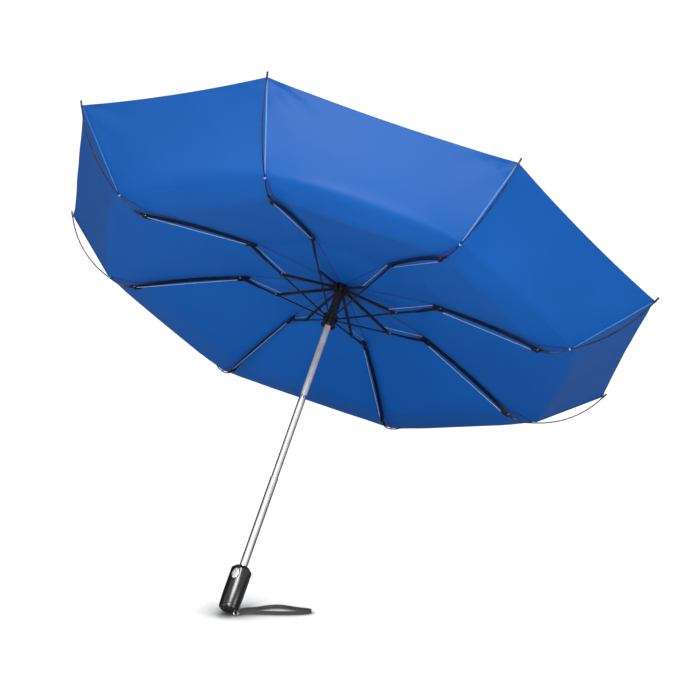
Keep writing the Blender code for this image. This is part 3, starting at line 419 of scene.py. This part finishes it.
def piece(name, mesh, finish, body, matrix=None):
    """A named object with one material, riding on a body. The matrix brings the mesh to the row frame."""
    if matrix is not None:
        mesh.transform(matrix)
    mesh.materials.append(finish)
    made = bpy.data.objects.new(name, mesh)
    bpy.context.scene.collection.objects.link(made)
    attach(made, body)
    return made


def skinned(work, rings, name, sharp=TUBE_SHARP, closed=False):
    """The mesh of a row of rings of vertices: a closed loop, or with both its ends capped."""
    pairs = list(zip(rings, rings[1:])) + ([(rings[-1], rings[0])] if closed else [])
    sides = len(rings[0])
    for here, there in pairs:
        for index in range(sides):
            after = (index + 1) % sides
            work.faces.new((here[index], here[after], there[after], there[index]))
    if not closed:
        work.faces.new(rings[0])
        work.faces.new(rings[-1])
    bmesh.ops.recalc_face_normals(work, faces=work.faces)
    mesh = bpy.data.meshes.new(name)
    work.to_mesh(mesh)
    work.free()
    mesh.shade_smooth()
    mesh.set_sharp_from_angle(angle=sharp)
    return mesh


def tube(points, radius, facets, closed=False, flat=1.0, up=(0, 0, 1)):
    """A mesh tube along points in metres. Flat widens it at right angles to its upward direction."""
    work = bmesh.new()
    rings = []
    count = len(points)
    for index, point in enumerate(points):
        before = points[index - 1 if closed or index else 0]
        after = points[(index + 1) % count if closed or index < count - 1 else index]
        forward = (after - before).normalized()
        side = forward.cross(Vector(up))
        if side.length < PARALLEL:
            side = forward.orthogonal()
        side.normalize()
        rise = side.cross(forward)
        ring = []
        for turn in range(facets):
            angle = 2 * math.pi * turn / facets
            wide, high = radius * flat * math.cos(angle), radius * math.sin(angle)
            ring.append(work.verts.new(point + side * wide + rise * high))
        rings.append(ring)
    return skinned(work, rings, "tube", closed=closed)


def joined(meshes):
    work = bmesh.new()
    for mesh in meshes:
        work.from_mesh(mesh)
    made = bpy.data.meshes.new("joined")
    work.to_mesh(made)
    work.free()
    return made


# The canopy: one smooth surface, built whole and then cut where it has to fold. Lengths are in millimetres.

# Half thicknesses of the cloth, its hem and its seams, and how far its middle lies over the outer wires
CLOTH_HALF, HEM_HALF, SEAM_HALF = 0.2, 0.55, 0.65
CLOTH_OFFSET = 1.7
HEM_WIDTH = 6.0
# The skirt's lip behind the crease, and the step between layers there
LIP, LIP_LIFT = 4.4, 0.4

# The cloth's line over a rib: radii and heights over the crown, places along the middle rib and heights over
# it, how far before the crease it starts to rise and by how many degrees, and the steps between these places
OVER_CROWN = ((5.5, 7.0), (12.0, 7.05), (34.0, 6.6), (68.0, 5.0), (110.0, 3.0), (148.0, 1.2))
OVER_MIDDLE_RIB = ((-17.0, 3.8), (18.0, 3.8), (75.0, 4.0), (135.0, 5.0), (178.0, 7.8))
CREASE_APPROACH, CREASE_RISE = 26.0, 4.0
LINE_STEPS = (1, 2, 2, 3, 3, 1, 2, 3, 3, 3, 2, 2)

CLOTH_TIE = along(TIE, CLOTH_OFFSET, SKIRT_RISE + 90)
CLOTH_CORNER = along(CORNER, CLOTH_OFFSET, SKIRT_RISE + 90)


def over_middle_rib(x, lift):
    arch = 4 * MIDDLE_ARCH * x / MIDDLE_RIB * (1 - max(x, 0) / MIDDLE_RIB)
    return along(along(P2, x, -MIDDLE_DROOP), arch + lift, 90 - MIDDLE_DROOP)


def rib_line():
    """Points of the cloth's curve over a rib, from the rim of its hole at the crown to the crease."""
    knots = [(radius, CROWN_HEIGHT + height) for radius, height in OVER_CROWN]
    knots += [over_middle_rib(x, lift) for x, lift in OVER_MIDDLE_RIB]
    knots += [along(CLOTH_TIE, -CREASE_APPROACH, CREASE_RISE), CLOTH_TIE]
    first, last = (tuple(2 * a - b for a, b in zip(*ends)) for ends in (knots[:2], knots[:-3:-1]))
    around = [first] + knots + [last]
    curve = []
    for span, steps in enumerate(LINE_STEPS):
        for step in range(steps):
            curve.append(tuple(spline(*four, step / steps) for four in zip(*around[span:span + 4])))
    return curve + [CLOTH_TIE]


RIB_LINE = rib_line()
# The row where the top pieces end, the crease's row, and the shares of the skirt at which its rows lie
INNER_ROWS = 14
CREASE_ROW = len(RIB_LINE) - 1
SKIRT_SHARES = (
    0.03, 0.07, 0.11, 0.16, 0.22, 0.3, 0.4, 0.52, 0.64, 0.76, 0.86, 0.93, 1 - HEM_WIDTH / SKIRT, 1.0,
)
ROWS = CREASE_ROW + 1 + len(SKIRT_SHARES)
# Columns beside the seam, the least shares of the half gore they shrink to near the crown, and those beyond
SEAM_COLUMNS = (0.0, 1.1, 2.2)
NARROWEST = (0.02, 0.06, 0.1)
COLUMN_SHARES = (0.1, 0.22, 0.36, 0.52, 0.68, 0.84, 1.0)
COLUMNS = len(SEAM_COLUMNS) + len(COLUMN_SHARES)


def skirt_share(row):
    return SKIRT_SHARES[row - CREASE_ROW - 1]


def rib_point(row):
    if row <= CREASE_ROW:
        return RIB_LINE[row]
    return tuple(a + (b - a) * skirt_share(row) for a, b in zip(CLOTH_TIE, CLOTH_CORNER))


def half_width(row):
    """Half the gore's chord at a row."""
    return rib_point(row)[0] * math.sin(HALF)


def columns(row):
    """Distances from the rib's plane out to the middle of the gore."""
    half = half_width(row)
    near = [min(column, half * least) for column, least in zip(SEAM_COLUMNS, NARROWEST)]
    return near + [near[-1] + (half - near[-1]) * share for share in COLUMN_SHARES]


def row_lengths():
    """How far each row is from the first, along a rib."""
    lengths = [0.0]
    for row in range(1, ROWS):
        lengths.append(lengths[-1] + math.dist(rib_point(row - 1), rib_point(row)))
    return lengths


ROW_COLUMNS = [columns(row) for row in range(ROWS)]
ROW_LENGTHS = row_lengths()

# Rows inside this radius are round. Further out the gore sags by an arch over this span of radii.
ROUND_RADIUS = 12.5
GORE_SAG, SAG_START, SAG_SPAN = 3.0, 40.0, 330.0
# The skirt: the reach of its rolled crease at the gore's middle and beside a rib, the roll's first rise in
# degrees and how it fades, the hem's sag and how it grows, and the belly between
CREASE_ROUND, CREASE_LEAST, CREASE_ENTRY, ROLL_FADE = 34.0, 0.5, 4.0, 1.5
HEM_SAG, SAG_GROWTH, SKIRT_BELLY = 5.0, 1.5, 2.5
RISE = math.radians(SKIRT_RISE)
SKIRT_SLOPE = Vector((math.cos(HALF) * math.cos(RISE), 0, math.sin(RISE))).normalized()


def gore_point(row, distance):
    """A point of the cloth in the frame of its gore, at a distance from the rib's plane along the chord.
    X is outwards through the gore's middle, Y runs from the rib towards the middle, Z up the shaft."""
    radius, height = rib_point(row)
    half = half_width(row)
    t = min(1.0, distance / half)
    if radius < ROUND_RADIUS:
        angle = HALF * (1 - t)
        return Vector((radius * math.cos(angle), radius * math.sin(angle), height))
    swell = t * (2 - t)
    place = Vector((radius * math.cos(HALF), half - distance, height))
    if row <= CREASE_ROW:
        share = min(1.0, max(0.0, (radius - SAG_START) / SAG_SPAN))
        place.z -= GORE_SAG * swell * math.sin(math.pi * share)
        return place
    share = skirt_share(row)
    out = share * SKIRT
    reach = max(CREASE_ROUND * swell, CREASE_LEAST)
    turned = min(1.0, out / reach)
    entry = direction(CREASE_ENTRY)
    rolled = entry * (reach * turned * (1 - turned)) + (entry + SKIRT_SLOPE) * (reach / 2 * turned ** 2)
    straight = SKIRT_SLOPE * min(out, reach)
    place += (rolled - straight) * (1 - share) ** ROLL_FADE
    place += SKIRT_SLOPE * (-HEM_SAG * swell * share ** SAG_GROWTH)
    place += upright(SKIRT_SLOPE) * (SKIRT_BELLY * swell * math.sin(math.pi * share))
    return place


# The cloth is smooth up to this row. Pinched folds spread from points behind the corners and the ties: their
# height, waves per radian, shift from one half gore to the next, reach, and how far across and away they grow
SMOOTH_ROWS = 12
CORNER_FOLDS = (2.9, 7.5, 0.9, 52.0, 10.0, 14.0)
OUTER_TIE_FOLDS = (1.1, 6.0, 1.7, 34.0, 12.0, 14.0)
INNER_TIE_FOLDS = (1.3, 6.5, 1.3, 48.0, 12.0, 16.0)
FOLDS_BEHIND = 4.0
# Billows: their height, sizes out and across, shift from gore to gore, and how far from a rib they are full
BILLOW, BILLOW_OUT, BILLOW_ACROSS, BILLOW_SHIFT, BILLOW_FULL = 1.4, 120.0, 90.0, 3.7, 40.0


def pinched(folds, seed, across, out):
    height, waves, shift, reach, full_across, full_away = folds
    away = math.hypot(across, out)
    wave = math.cos(waves * math.atan2(across, out + FOLDS_BEHIND) + shift * seed) * math.exp(-away / reach)
    return height * wave * min(1.0, across / full_across) * min(1.0, away / full_away)


def wrinkle(gore, row, t, side):
    """How far the cloth stands off its smooth surface: pinched folds at ties and corners, faint billows."""
    if row < SMOOTH_ROWS:
        return 0.0
    radius, half = rib_point(row)[0], half_width(row)
    across = t * half
    seed = gore * 2 + (side > 0)
    if row > CREASE_ROW:
        up = skirt_share(row) * SKIRT
        total = pinched(CORNER_FOLDS, seed, across, SKIRT - up) + pinched(OUTER_TIE_FOLDS, seed, across, up)
    else:
        total = pinched(INNER_TIE_FOLDS, seed, across, CLOTH_TIE[0] - radius)
    billow = noise.noise(Vector((radius / BILLOW_OUT, (1 - t) * half / BILLOW_ACROSS, gore * BILLOW_SHIFT)))
    return total + BILLOW * billow * min(1.0, across / BILLOW_FULL)


def canopy_grid():
    """The points of the whole smooth canopy, by (rib, side, row, column), in the row frame."""
    points = {}
    for number in RIBS:
        for side in (1, -1):
            gore = rib_matrix(number, side * 0.5)
            for row in range(ROWS):
                for column, distance in enumerate(ROW_COLUMNS[row]):
                    place = gore_point(row, distance)
                    if side > 0:
                        place.y = -place.y
                    points[number, side, row, column] = gore @ (place * MM)
    return points


def grid_normals(points):
    """Smooth normals on the crown's side, from the differences along rows and columns."""
    normals = {}
    for number, side, row, column in points:
        before = points[number, side, max(row - 1, 0), column]
        after = points[number, side, min(row + 1, ROWS - 1), column]
        left = points[number, side, row, column - 1] if column else points[number, -side, row, 1]
        if column < COLUMNS - 1:
            right = points[number, side, row, column + 1]
        else:
            right = points[neighbour(number, side), -side, row, column - 1]
        cross = (after - before).cross(right - left) * side
        normals[number, side, row, column] = cross.normalized()
    return normals


def wrinkled(points, normals):
    """The points moved off to their folds, and joined in the middle of each gore."""
    moved = {}
    for key, place in points.items():
        number, side, row, column = key
        gore = number if side > 0 else neighbour(number, -1)
        height = wrinkle(gore, row, ROW_COLUMNS[row][column] / half_width(row), side)
        moved[key] = place + normals[key] * (height * MM)
    for number in RIBS:
        for row in range(ROWS):
            a = (number, 1, row, COLUMNS - 1)
            b = (neighbour(number, 1), -1, row, COLUMNS - 1)
            moved[a] = moved[b] = (moved[a] + moved[b]) / 2
    return moved


SURFACE = canopy_grid()
SURFACE = wrinkled(SURFACE, grid_normals(SURFACE))
NORMALS = grid_normals(SURFACE)


def half_thickness(row, column):
    """The last two rows are the hem, and the first two columns the seam, from outside the crown's cap."""
    if row >= ROWS - 2:
        return HEM_HALF
    if column < 2 and row > 3:
        return SEAM_HALF
    return CLOTH_HALF


def cloth_patch(name, keys, body, lip=0.0):
    """A closed thin shell over a grid of surface keys (rows of keys), with the whole canopy's own normals.
    A lip doubles the first row back behind its neighbour by that many mm. With the middle patches' last row,
    which laps over the skirt, it keeps the crease closed when the skirt is flipped."""
    spots, normals, uvs = [], [], []
    lines = [(keys[0], lip)] * bool(lip) + [(line, 0.0) for line in keys]
    laps = keys[0][0][2] < CREASE_ROW
    for level in (1, -1):
        for line, back in lines:
            for key in line:
                number, side, row, column = key
                normal = NORMALS[key]
                lift = LIP_LIFT if laps and row > CREASE_ROW else 0.0
                place = SURFACE[key] + normal * ((level * half_thickness(row, column) + lift) * MM)
                if back:
                    inwards = SURFACE[number, side, row - 1, column] - SURFACE[key]
                    place += inwards.normalized() * (back * MM) + normal * (LIP_LIFT * MM)
                spots.append(tuple(place))
                normals.append(normal * level)
                uvs.append((ROW_COLUMNS[row][column] * MM, (ROW_LENGTHS[row] - back) * MM))
    height, width = len(lines), len(keys[0])
    size = height * width
    faces = []
    for i in range(height - 1):
        for corner in range(i * width, i * width + width - 1):
            top = (corner, corner + width, corner + width + 1, corner + 1)
            faces += [top, tuple(index + size for index in reversed(top))]
    skin = len(faces)
    rim = [i * width for i in range(height)] + list(range(size - width + 1, size))
    rim += [i * width + width - 1 for i in range(height - 2, -1, -1)] + list(range(width - 2, 0, -1))
    for here, there in zip(rim, rim[1:] + rim[:1]):
        faces.append((there, here, here + size, there + size))
    mesh = bpy.data.meshes.new(name)
    mesh.from_pydata(spots, [], faces)
    mesh.update()
    if mesh.polygons[0].normal.dot(normals[0]) < 0:
        mesh.flip_normals()
    layer = mesh.uv_layers.new(name="cloth")
    for loop in mesh.loops:
        layer.data[loop.index].uv = uvs[loop.vertex_index]
    mesh.shade_smooth()
    custom = []
    for polygon in mesh.polygons:
        for vertex in polygon.vertices:
            custom.append(tuple(normals[vertex] if polygon.index < skin else polygon.normal))
    mesh.normals_split_custom_set(custom)
    made = piece(name, mesh, CANOPY, body)
    area = sum(polygon.area for polygon in mesh.polygons[:skin]) / 2
    return made, area, max(ROW_COLUMNS[line[0][2]][-1] for line in keys) * 2 * MM


WIDENED = 1.02
LEAST_SHARE = 0.31


def declare(area, width, length):
    """Widens the rectangle of one patch until the patch fits it. The width and area it finds are not kept."""
    while area > width * length:
        width *= WIDENED
    area = max(area, LEAST_SHARE * width * length)


# How much longer than the top and middle pieces their rectangles are
TOP_SPARE, MIDDLE_SPARE = 1.05, 1.25


def build_top(number, side, word):
    """Half a piece of the centre at the crown."""
    keys = [[(number, side, row, column) for column in range(COLUMNS)] for row in range(INNER_ROWS + 1)]
    made, area, width = cloth_patch(f"canopy_top_{number}{word}", keys, "upper_tube")
    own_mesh(made)
    declare(area, width / 2, ROW_LENGTHS[INNER_ROWS] * MM * TOP_SPARE)


def build_middle(number):
    """A piece of the centre over a middle rib, to a row beyond the crease."""
    keys = []
    for row in range(INNER_ROWS, CREASE_ROW + 2):
        line = [(number, -1, row, column) for column in range(COLUMNS - 1, 0, -1)]
        keys.append(line + [(number, 1, row, column) for column in range(COLUMNS)])
    made, area, width = cloth_patch(f"canopy_middle_{number}", keys, f"middle_rib_{number}")
    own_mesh(made)
    length = (ROW_LENGTHS[CREASE_ROW + 1] - ROW_LENGTHS[INNER_ROWS]) * MM
    declare(area, width, length * MIDDLE_SPARE)


def build_skirt(number):
    """A panel of the skirt between two ribs."""
    keys = []
    for row in range(CREASE_ROW, ROWS):
        line = [(number, 1, row, column) for column in range(COLUMNS)]
        keys.append(line + [(neighbour(number, 1), -1, row, column) for column in range(COLUMNS - 2, -1, -1)])
    made, area, width = cloth_patch(f"canopy_skirt_{number}", keys, f"skirt_panel_{number}", LIP)
    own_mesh(made)
    declare(area, width, (SKIRT + LIP) * MM)
    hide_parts(f"skirt_panel_{number}")


for number in RIBS:
    build_top(number, 1, "a")
    build_top(number, -1, "b")
    build_middle(number)
    build_skirt(number)
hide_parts("canopy_centre")

# The strap: flat webbing on edge, both ends at the eye. The route is the CAD strap's own, in millimetres over
# the floor. The section is in shares of its thickness and width, with thicker selvedges.
STRAP_WIDTH, STRAP_THICK = 5.8, 1.2
STRAP_ROUTE = [
    (17.25, -3.2, 5.6), (23.0, -1.5, 5.6), (30.0, 1.5, 4.8), (40.0, 3.5, 3.7), (52.0, 3.6, 3.0),
    (66.0, 2.6, 3.0), (80.0, 1.6, 3.0), (94.0, 1.6, 3.0), (107.0, 2.6, 3.0), (118.0, 4.8, 3.0),
    (125.5, 8.2, 3.0), (128.8, 13.0, 3.0), (126.0, 17.6, 3.0), (117.5, 21.6, 3.0), (106.0, 26.6, 3.0),
    (94.0, 33.6, 3.0), (82.0, 39.4, 3.0), (71.0, 40.2, 3.0), (61.0, 36.8, 3.0), (53.0, 32.6, 3.0),
    (45.5, 27.4, 3.2), (37.0, 19.4, 4.6), (29.5, 11.0, 6.4), (23.4, 4.0, 7.4), (18.2, -0.9, 7.2),
]
STRAP_SECTION = [
    (-0.5, -0.42), (-0.36, -0.5), (0.36, -0.5), (0.5, -0.42), (0.5, -0.3), (0.4, -0.2),
    (0.4, 0.2), (0.5, 0.3), (0.5, 0.42), (0.36, 0.5), (-0.36, 0.5), (-0.5, 0.42),
    (-0.5, 0.3), (-0.4, 0.2), (-0.4, -0.2), (-0.5, -0.3),
]
STRAP_STEPS = 152


def smooth_route(points, count):
    """A curve through the points, in that many even steps."""
    around = [2 * points[0] - points[1]] + points + [2 * points[-1] - points[-2]]
    spans = len(points) - 1
    curve = []
    for step in range(count + 1):
        place = spans * step / count
        span = min(int(place), spans - 1)
        curve.append(spline(*around[span:span + 4], place - span))
    return curve


def build_strap():
    points = smooth_route([Vector(spot) * MM + Vector((0, 0, FLOOR_Z)) for spot in STRAP_ROUTE], STRAP_STEPS)
    work = bmesh.new()
    rings, travelled = [], [0.0]
    for index, point in enumerate(points):
        before = points[max(index - 1, 0)]
        after = points[min(index + 1, STRAP_STEPS)]
        forward = (after - before).normalized()
        side = forward.cross(Vector((0, 0, 1))).normalized()
        rise = side.cross(forward)
        if index:
            travelled.append(travelled[-1] + (point - before).length)
        rings.append([
            work.verts.new(point + side * (a * STRAP_THICK * MM) + rise * (b * STRAP_WIDTH * MM))
            for a, b in STRAP_SECTION
        ])
    mesh = skinned(work, rings, "strap_web", STRAP_SHARP)
    layer = mesh.uv_layers.new(name="cloth", do_init=False)
    for polygon in mesh.polygons[:-2]:
        for loop, vertex in zip(polygon.loop_indices, polygon.vertices):
            ring, spot = divmod(vertex, len(STRAP_SECTION))
            layer.data[loop].uv = (travelled[ring], STRAP_SECTION[spot][1] * STRAP_WIDTH * MM)
    made = piece("strap_web", mesh, STRAP, "handle")
    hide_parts("strap")


build_strap()

# A rib's balance link, control wire's coat, seam piping, rivet heads and thread tie, in millimetres

LINK_SIDE, LINK_RADIUS, LINK_DROP, LINK_FACETS = 2.5, 0.45, 0.6, 8
WIRE_INSET, WIRE_SPARE, WIRE_START_DROP, WIRE_END_DROP = 5.0, 0.1, 4.0, 3.0
WIRE_SIDE, WIRE_COAT, WIRE_FACETS = 2.35, 0.62, 10
PIPING_STEPS, PIPING_INSET, PIPING_RISE = 8, 3.5, 0.62
PIPING_THICK, PIPING_FLAT, PIPING_FACETS = 0.42, 3.0, 8
RIB_SIDE, CHEEK_SIDE = 1.66, 2.16
RIVET_PROFILE = ((1.7, 0.0), (1.7, 0.34), (1.3, 0.62), (0.7, 0.76))
RIVET_TURNS = 12
TIE_SLOPE, TIE_START, TIE_PITCH, TIE_TURNS, TIE_STEPS = 25.0, -3.4, 0.75, 3, 14
TIE_HIGH, TIE_WIDE, TIE_THREAD, TIE_FACETS = 2.3, 1.5, 0.3, 6


def dome(centre, start, side):
    """A rivet's round head on a pin across the rib at a point of the rib's plane, from start outwards."""
    work = bmesh.new()
    rings = []
    for radius, rise in RIVET_PROFILE:
        ring = []
        for turn in range(RIVET_TURNS):
            angle = 2 * math.pi * turn / RIVET_TURNS
            spot = (centre[0] + radius * math.cos(angle), centre[1] + radius * math.sin(angle))
            ring.append(work.verts.new(in_plane(spot, start + side * rise)))
        rings.append(ring)
    return skinned(work, rings, "dome")


def build_link(number, rib):
    """The balance link, from the top rib to the middle rib's tail, beside the stretcher."""
    tail = along(along(P2, -TAIL, -MIDDLE_DROOP), -LINK_DROP, 90 - MIDDLE_DROOP)
    head = along(P1, -TAIL, -DROOP)
    spots = ([a + (b - a) * share for a, b in zip(head, tail)] for share in (0, 0.5, 1))
    mesh = tube([in_plane(spot, -LINK_SIDE) for spot in spots], LINK_RADIUS * MM, LINK_FACETS)
    made = piece(f"balance_link_{number}", mesh, PALE_WIRE, f"stretcher_{number}", rib)
    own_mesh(made)


def build_wire_coat(number, rib):
    """The pale coat of the straight control wire beside the middle rib."""
    points = []
    start, end = WIRE_INSET - WIRE_SPARE, MIDDLE_RIB - WIRE_INSET + WIRE_SPARE
    for x, drop in ((start, WIRE_START_DROP), (end, WIRE_END_DROP)):
        points.append(in_plane(along(along(P2, x, -MIDDLE_DROOP), -drop, 90 - MIDDLE_DROOP), WIRE_SIDE))
    points.insert(1, (points[0] + points[1]) / 2)
    mesh = tube(points, WIRE_COAT * MM, WIRE_FACETS)
    piece(f"control_wire_{number}", mesh, PALE_WIRE, f"middle_rib_{number}", rib)


def build_piping(number, rib):
    """The bound edge over the outer wire."""
    points = []
    for step in range(PIPING_STEPS + 1):
        reach = PIPING_INSET + (SKIRT - 2 * PIPING_INSET) * step / PIPING_STEPS
        points.append(in_plane(along(along(TIE, reach, SKIRT_RISE), PIPING_RISE, 90 + SKIRT_RISE)))
    mesh = tube(points, PIPING_THICK * MM, PIPING_FACETS, flat=PIPING_FLAT)
    piece(f"seam_piping_{number}", mesh, PIPING, f"outer_rib_{number}", rib)


def build_rivets(number, rib):
    """The heads of the rivets at the top rib's end and at both ends of the middle rib, on both sides."""
    for stem, centres, reach in (("top", (P1,), RIB_SIDE), ("middle", (P2, P3), CHEEK_SIDE)):
        mesh = joined([dome(centre, y * reach, y) for centre in centres for y in (1, -1)])
        piece(f"rivets_{stem}_{number}", mesh, RIVET, f"{stem}_rib_{number}", rib)


def build_tie(number, rib):
    """Turns of thread that tie the cloth to the root of the outer wire."""
    middle = along(TIE, CLOTH_OFFSET / 2, SKIRT_RISE + 90)
    way = direction(TIE_SLOPE)
    up = upright(way)
    turns = []
    for turn in range(TIE_TURNS):
        centre = Vector((middle[0], 0, middle[1])) + way * (TIE_START + TIE_PITCH * turn)
        ring = []
        for step in range(TIE_STEPS):
            angle = 2 * math.pi * step / TIE_STEPS
            place = centre + up * (TIE_HIGH * math.sin(angle)) + Vector((0, TIE_WIDE * math.cos(angle), 0))
            ring.append(place * MM)
        turns.append(tube(ring, TIE_THREAD * MM, TIE_FACETS, closed=True, up=way))
    piece(f"thread_tie_{number}", joined(turns), THREAD, f"end_joint_{number}", rib)


for number in RIBS:
    for build in (build_link, build_wire_coat, build_piping, build_rivets, build_tie):
        build(number, rib_matrix(number))

# Floor, light and camera

FLOOR_PLACE, FLOOR_GAP, FLOOR_SIZE = (0.2, 0.3), 0.0002, 14.0
# The floor's tone for plain bounces and for gloss, and what the camera sees: a share of the light on it, and
# a glow darkened by ambient occlusion into a painted contact shadow, over this reach and by this power
FLOOR_TONE, FLOOR_GLOSS_TONE = 0.74, 0.14
FLOOR_SHARE, FLOOR_GLOW = 0.12, 1.0
CONTACT_REACH, CONTACT_POWER, CONTACT_SAMPLES = 0.17, 5.6, 8


def floor_material():
    """A pale floor, white to the camera but for a painted contact shadow. Gloss sees it dimmer."""
    n = Nodes(bpy.data.materials.new("pale_floor"))
    n.tree.nodes.remove(n.shader)
    path = n.add("ShaderNodeLightPath").outputs
    bounce, mirrored, seen = (
        n.add("ShaderNodeBsdfDiffuse", Color=(tone, tone, tone, 1)).outputs[0]
        for tone in (FLOOR_TONE, FLOOR_GLOSS_TONE, FLOOR_SHARE)
    )
    # Painted shadow: ambient occlusion dims the glow the camera sees near the handle and strap
    painted_shadow_ao = n.add("ShaderNodeAmbientOcclusion", samples=CONTACT_SAMPLES, Distance=CONTACT_REACH)
    glow = n.add("ShaderNodeEmission", Color=(1, 1, 1, 1))
    shade = n.math("POWER", painted_shadow_ao.outputs["AO"], CONTACT_POWER)
    n.link(n.math("MULTIPLY", shade, FLOOR_GLOW), glow.inputs["Strength"])
    both = n.add("ShaderNodeAddShader")
    n.link(seen, both.inputs[0])
    n.link(glow.outputs[0], both.inputs[1])
    unseen = n.choose(path["Is Glossy Ray"], bounce, mirrored)
    chosen = n.choose(path["Is Camera Ray"], unseen, both.outputs[0])
    n.link(chosen, n.tree.nodes["Material Output"].inputs["Surface"])
    return n.owner


def build_floor():
    work = bmesh.new()
    bmesh.ops.create_grid(work, x_segments=1, y_segments=1, size=FLOOR_SIZE)
    mesh = bpy.data.meshes.new("floor")
    work.to_mesh(mesh)
    work.free()
    mesh.materials.append(floor_material())
    made = bpy.data.objects.new("floor", mesh)
    made.location = (*FLOOR_PLACE, FLOOR_Z - FLOOR_GAP)
    bpy.context.scene.collection.objects.link(made)


build_floor()

CENTRE = (0.25, 0.2, 0.5)
# Lamps: name, place, target, diameter in metres, power in watts, spread in degrees. The last is the grip's.
LAMPS = (
    ("low_key", (-0.08, -1.2, 0.27), (0.25, 0.0, 0.78), 0.5, 10.0, 180.0),
    ("high_key", (0.05, -1.45, 2.7), (0.05, 0.0, 0.1), 1.1, 25.0, 180.0),
    ("left", (-2.6, -1.2, 0.7), CENTRE, 1.4, 20.0, 180.0),
    ("right", (2.6, -1.7, 0.45), CENTRE, 1.3, 30.0, 180.0),
    ("top", (0.3, 0.8, 3.4), CENTRE, 2.6, 34.0, 180.0),
    ("grip_key", (0.036, -0.238, 0.396), (0.011, 0.021, 0.029), 0.34, 0.42, 45.0),
)
for name, place, target, diameter, power, spread in LAMPS:
    lamp = bpy.data.lights.new(name, "AREA")
    lamp.shape = "DISK"
    lamp.size = diameter
    lamp.energy = power
    lamp.spread = math.radians(spread)
    holder = bpy.data.objects.new(name, lamp)
    holder.location = place
    holder.rotation_euler = (Vector(target) - Vector(place)).to_track_quat("-Z", "Y").to_euler()
    bpy.context.scene.collection.objects.link(holder)

# The world's strength for soft light. For gloss, it rises from dim to full over these heights, and falls to a
# tone as a direction nears a side, over these cosines: one side is dark, and one at the back is dimmer.
WORLD_SOFT = 0.68
WORLD_DIM, HORIZON_SHARES = 0.5, (0.1, 0.45)
DARK_SIDE, DARK_SHARES, DARK_TONE = (-0.675, 0.614, 0.409), (0.80, 0.90), 0.04
BACK_SIDE, BACK_SHARES, BACK_TONE = (0.0, 0.99, 0.14), (0.60, 0.88), 0.3


def build_world():
    """White to the camera and through glass. To gloss, a white studio, dimmer below and behind, with one dark
    side. Soft light for the rest."""
    world = bpy.data.worlds.new("studio")
    bpy.context.scene.world = world
    n = Nodes(world)
    n.tree.nodes.clear()
    heading = n.add("ShaderNodeTexCoord").outputs["Generated"]
    split = n.add("ShaderNodeSeparateXYZ")
    n.link(heading, split.inputs[0])

    def background(strength):
        node = n.add("ShaderNodeBackground", Color=(1, 1, 1, 1))
        n.feed(node.inputs["Strength"], strength)
        return node.outputs[0]

    def towards(side):
        node = n.add("ShaderNodeVectorMath", operation="DOT_PRODUCT")
        node.inputs[1].default_value = side
        n.link(heading, node.inputs[0])
        return node.outputs["Value"]

    def faded(source, places, tones):
        node = n.add("ShaderNodeMapRange", interpolation_type="SMOOTHSTEP")
        for name, value in zip(("From Min", "From Max", "To Min", "To Max"), (*places, *tones)):
            node.inputs[name].default_value = value
        n.link(source, node.inputs["Value"])
        return node.outputs["Result"]

    level = faded(split.outputs[2], HORIZON_SHARES, (WORLD_DIM, 1.0))
    level = n.math("MULTIPLY", level, faded(towards(BACK_SIDE), BACK_SHARES, (1.0, BACK_TONE)))
    level = n.math("MULTIPLY", level, faded(towards(DARK_SIDE), DARK_SHARES, (1.0, DARK_TONE)))
    path = n.add("ShaderNodeLightPath").outputs
    white = background(1.0)
    mixed = n.choose(path["Is Glossy Ray"], background(WORLD_SOFT), background(level))
    mixed = n.choose(path["Is Transmission Ray"], mixed, white)
    mixed = n.choose(path["Is Camera Ray"], mixed, white)
    n.link(mixed, n.add("ShaderNodeOutputWorld").inputs["Surface"])


build_world()

CAMERA_PLACE = (0.18895, -4.25255, 1.15789)
CAMERA_DOWN = 10.0
FOCAL_PIXELS = 2837.93
FRAME_PIXELS = 700
SENSOR = 36.0
CLIP_END = 60


def build_camera():
    data = bpy.data.cameras.new("camera")
    data.sensor_width = SENSOR
    data.sensor_fit = "HORIZONTAL"
    data.lens = FOCAL_PIXELS / FRAME_PIXELS * SENSOR
    data.clip_end = CLIP_END
    made = bpy.data.objects.new("camera", data)
    made.location = CAMERA_PLACE
    made.rotation_euler = (math.radians(90 - CAMERA_DOWN), 0, 0)
    bpy.context.scene.collection.objects.link(made)
    bpy.context.scene.camera = made


build_camera()
bpy.context.scene.view_settings.view_transform = "Standard"
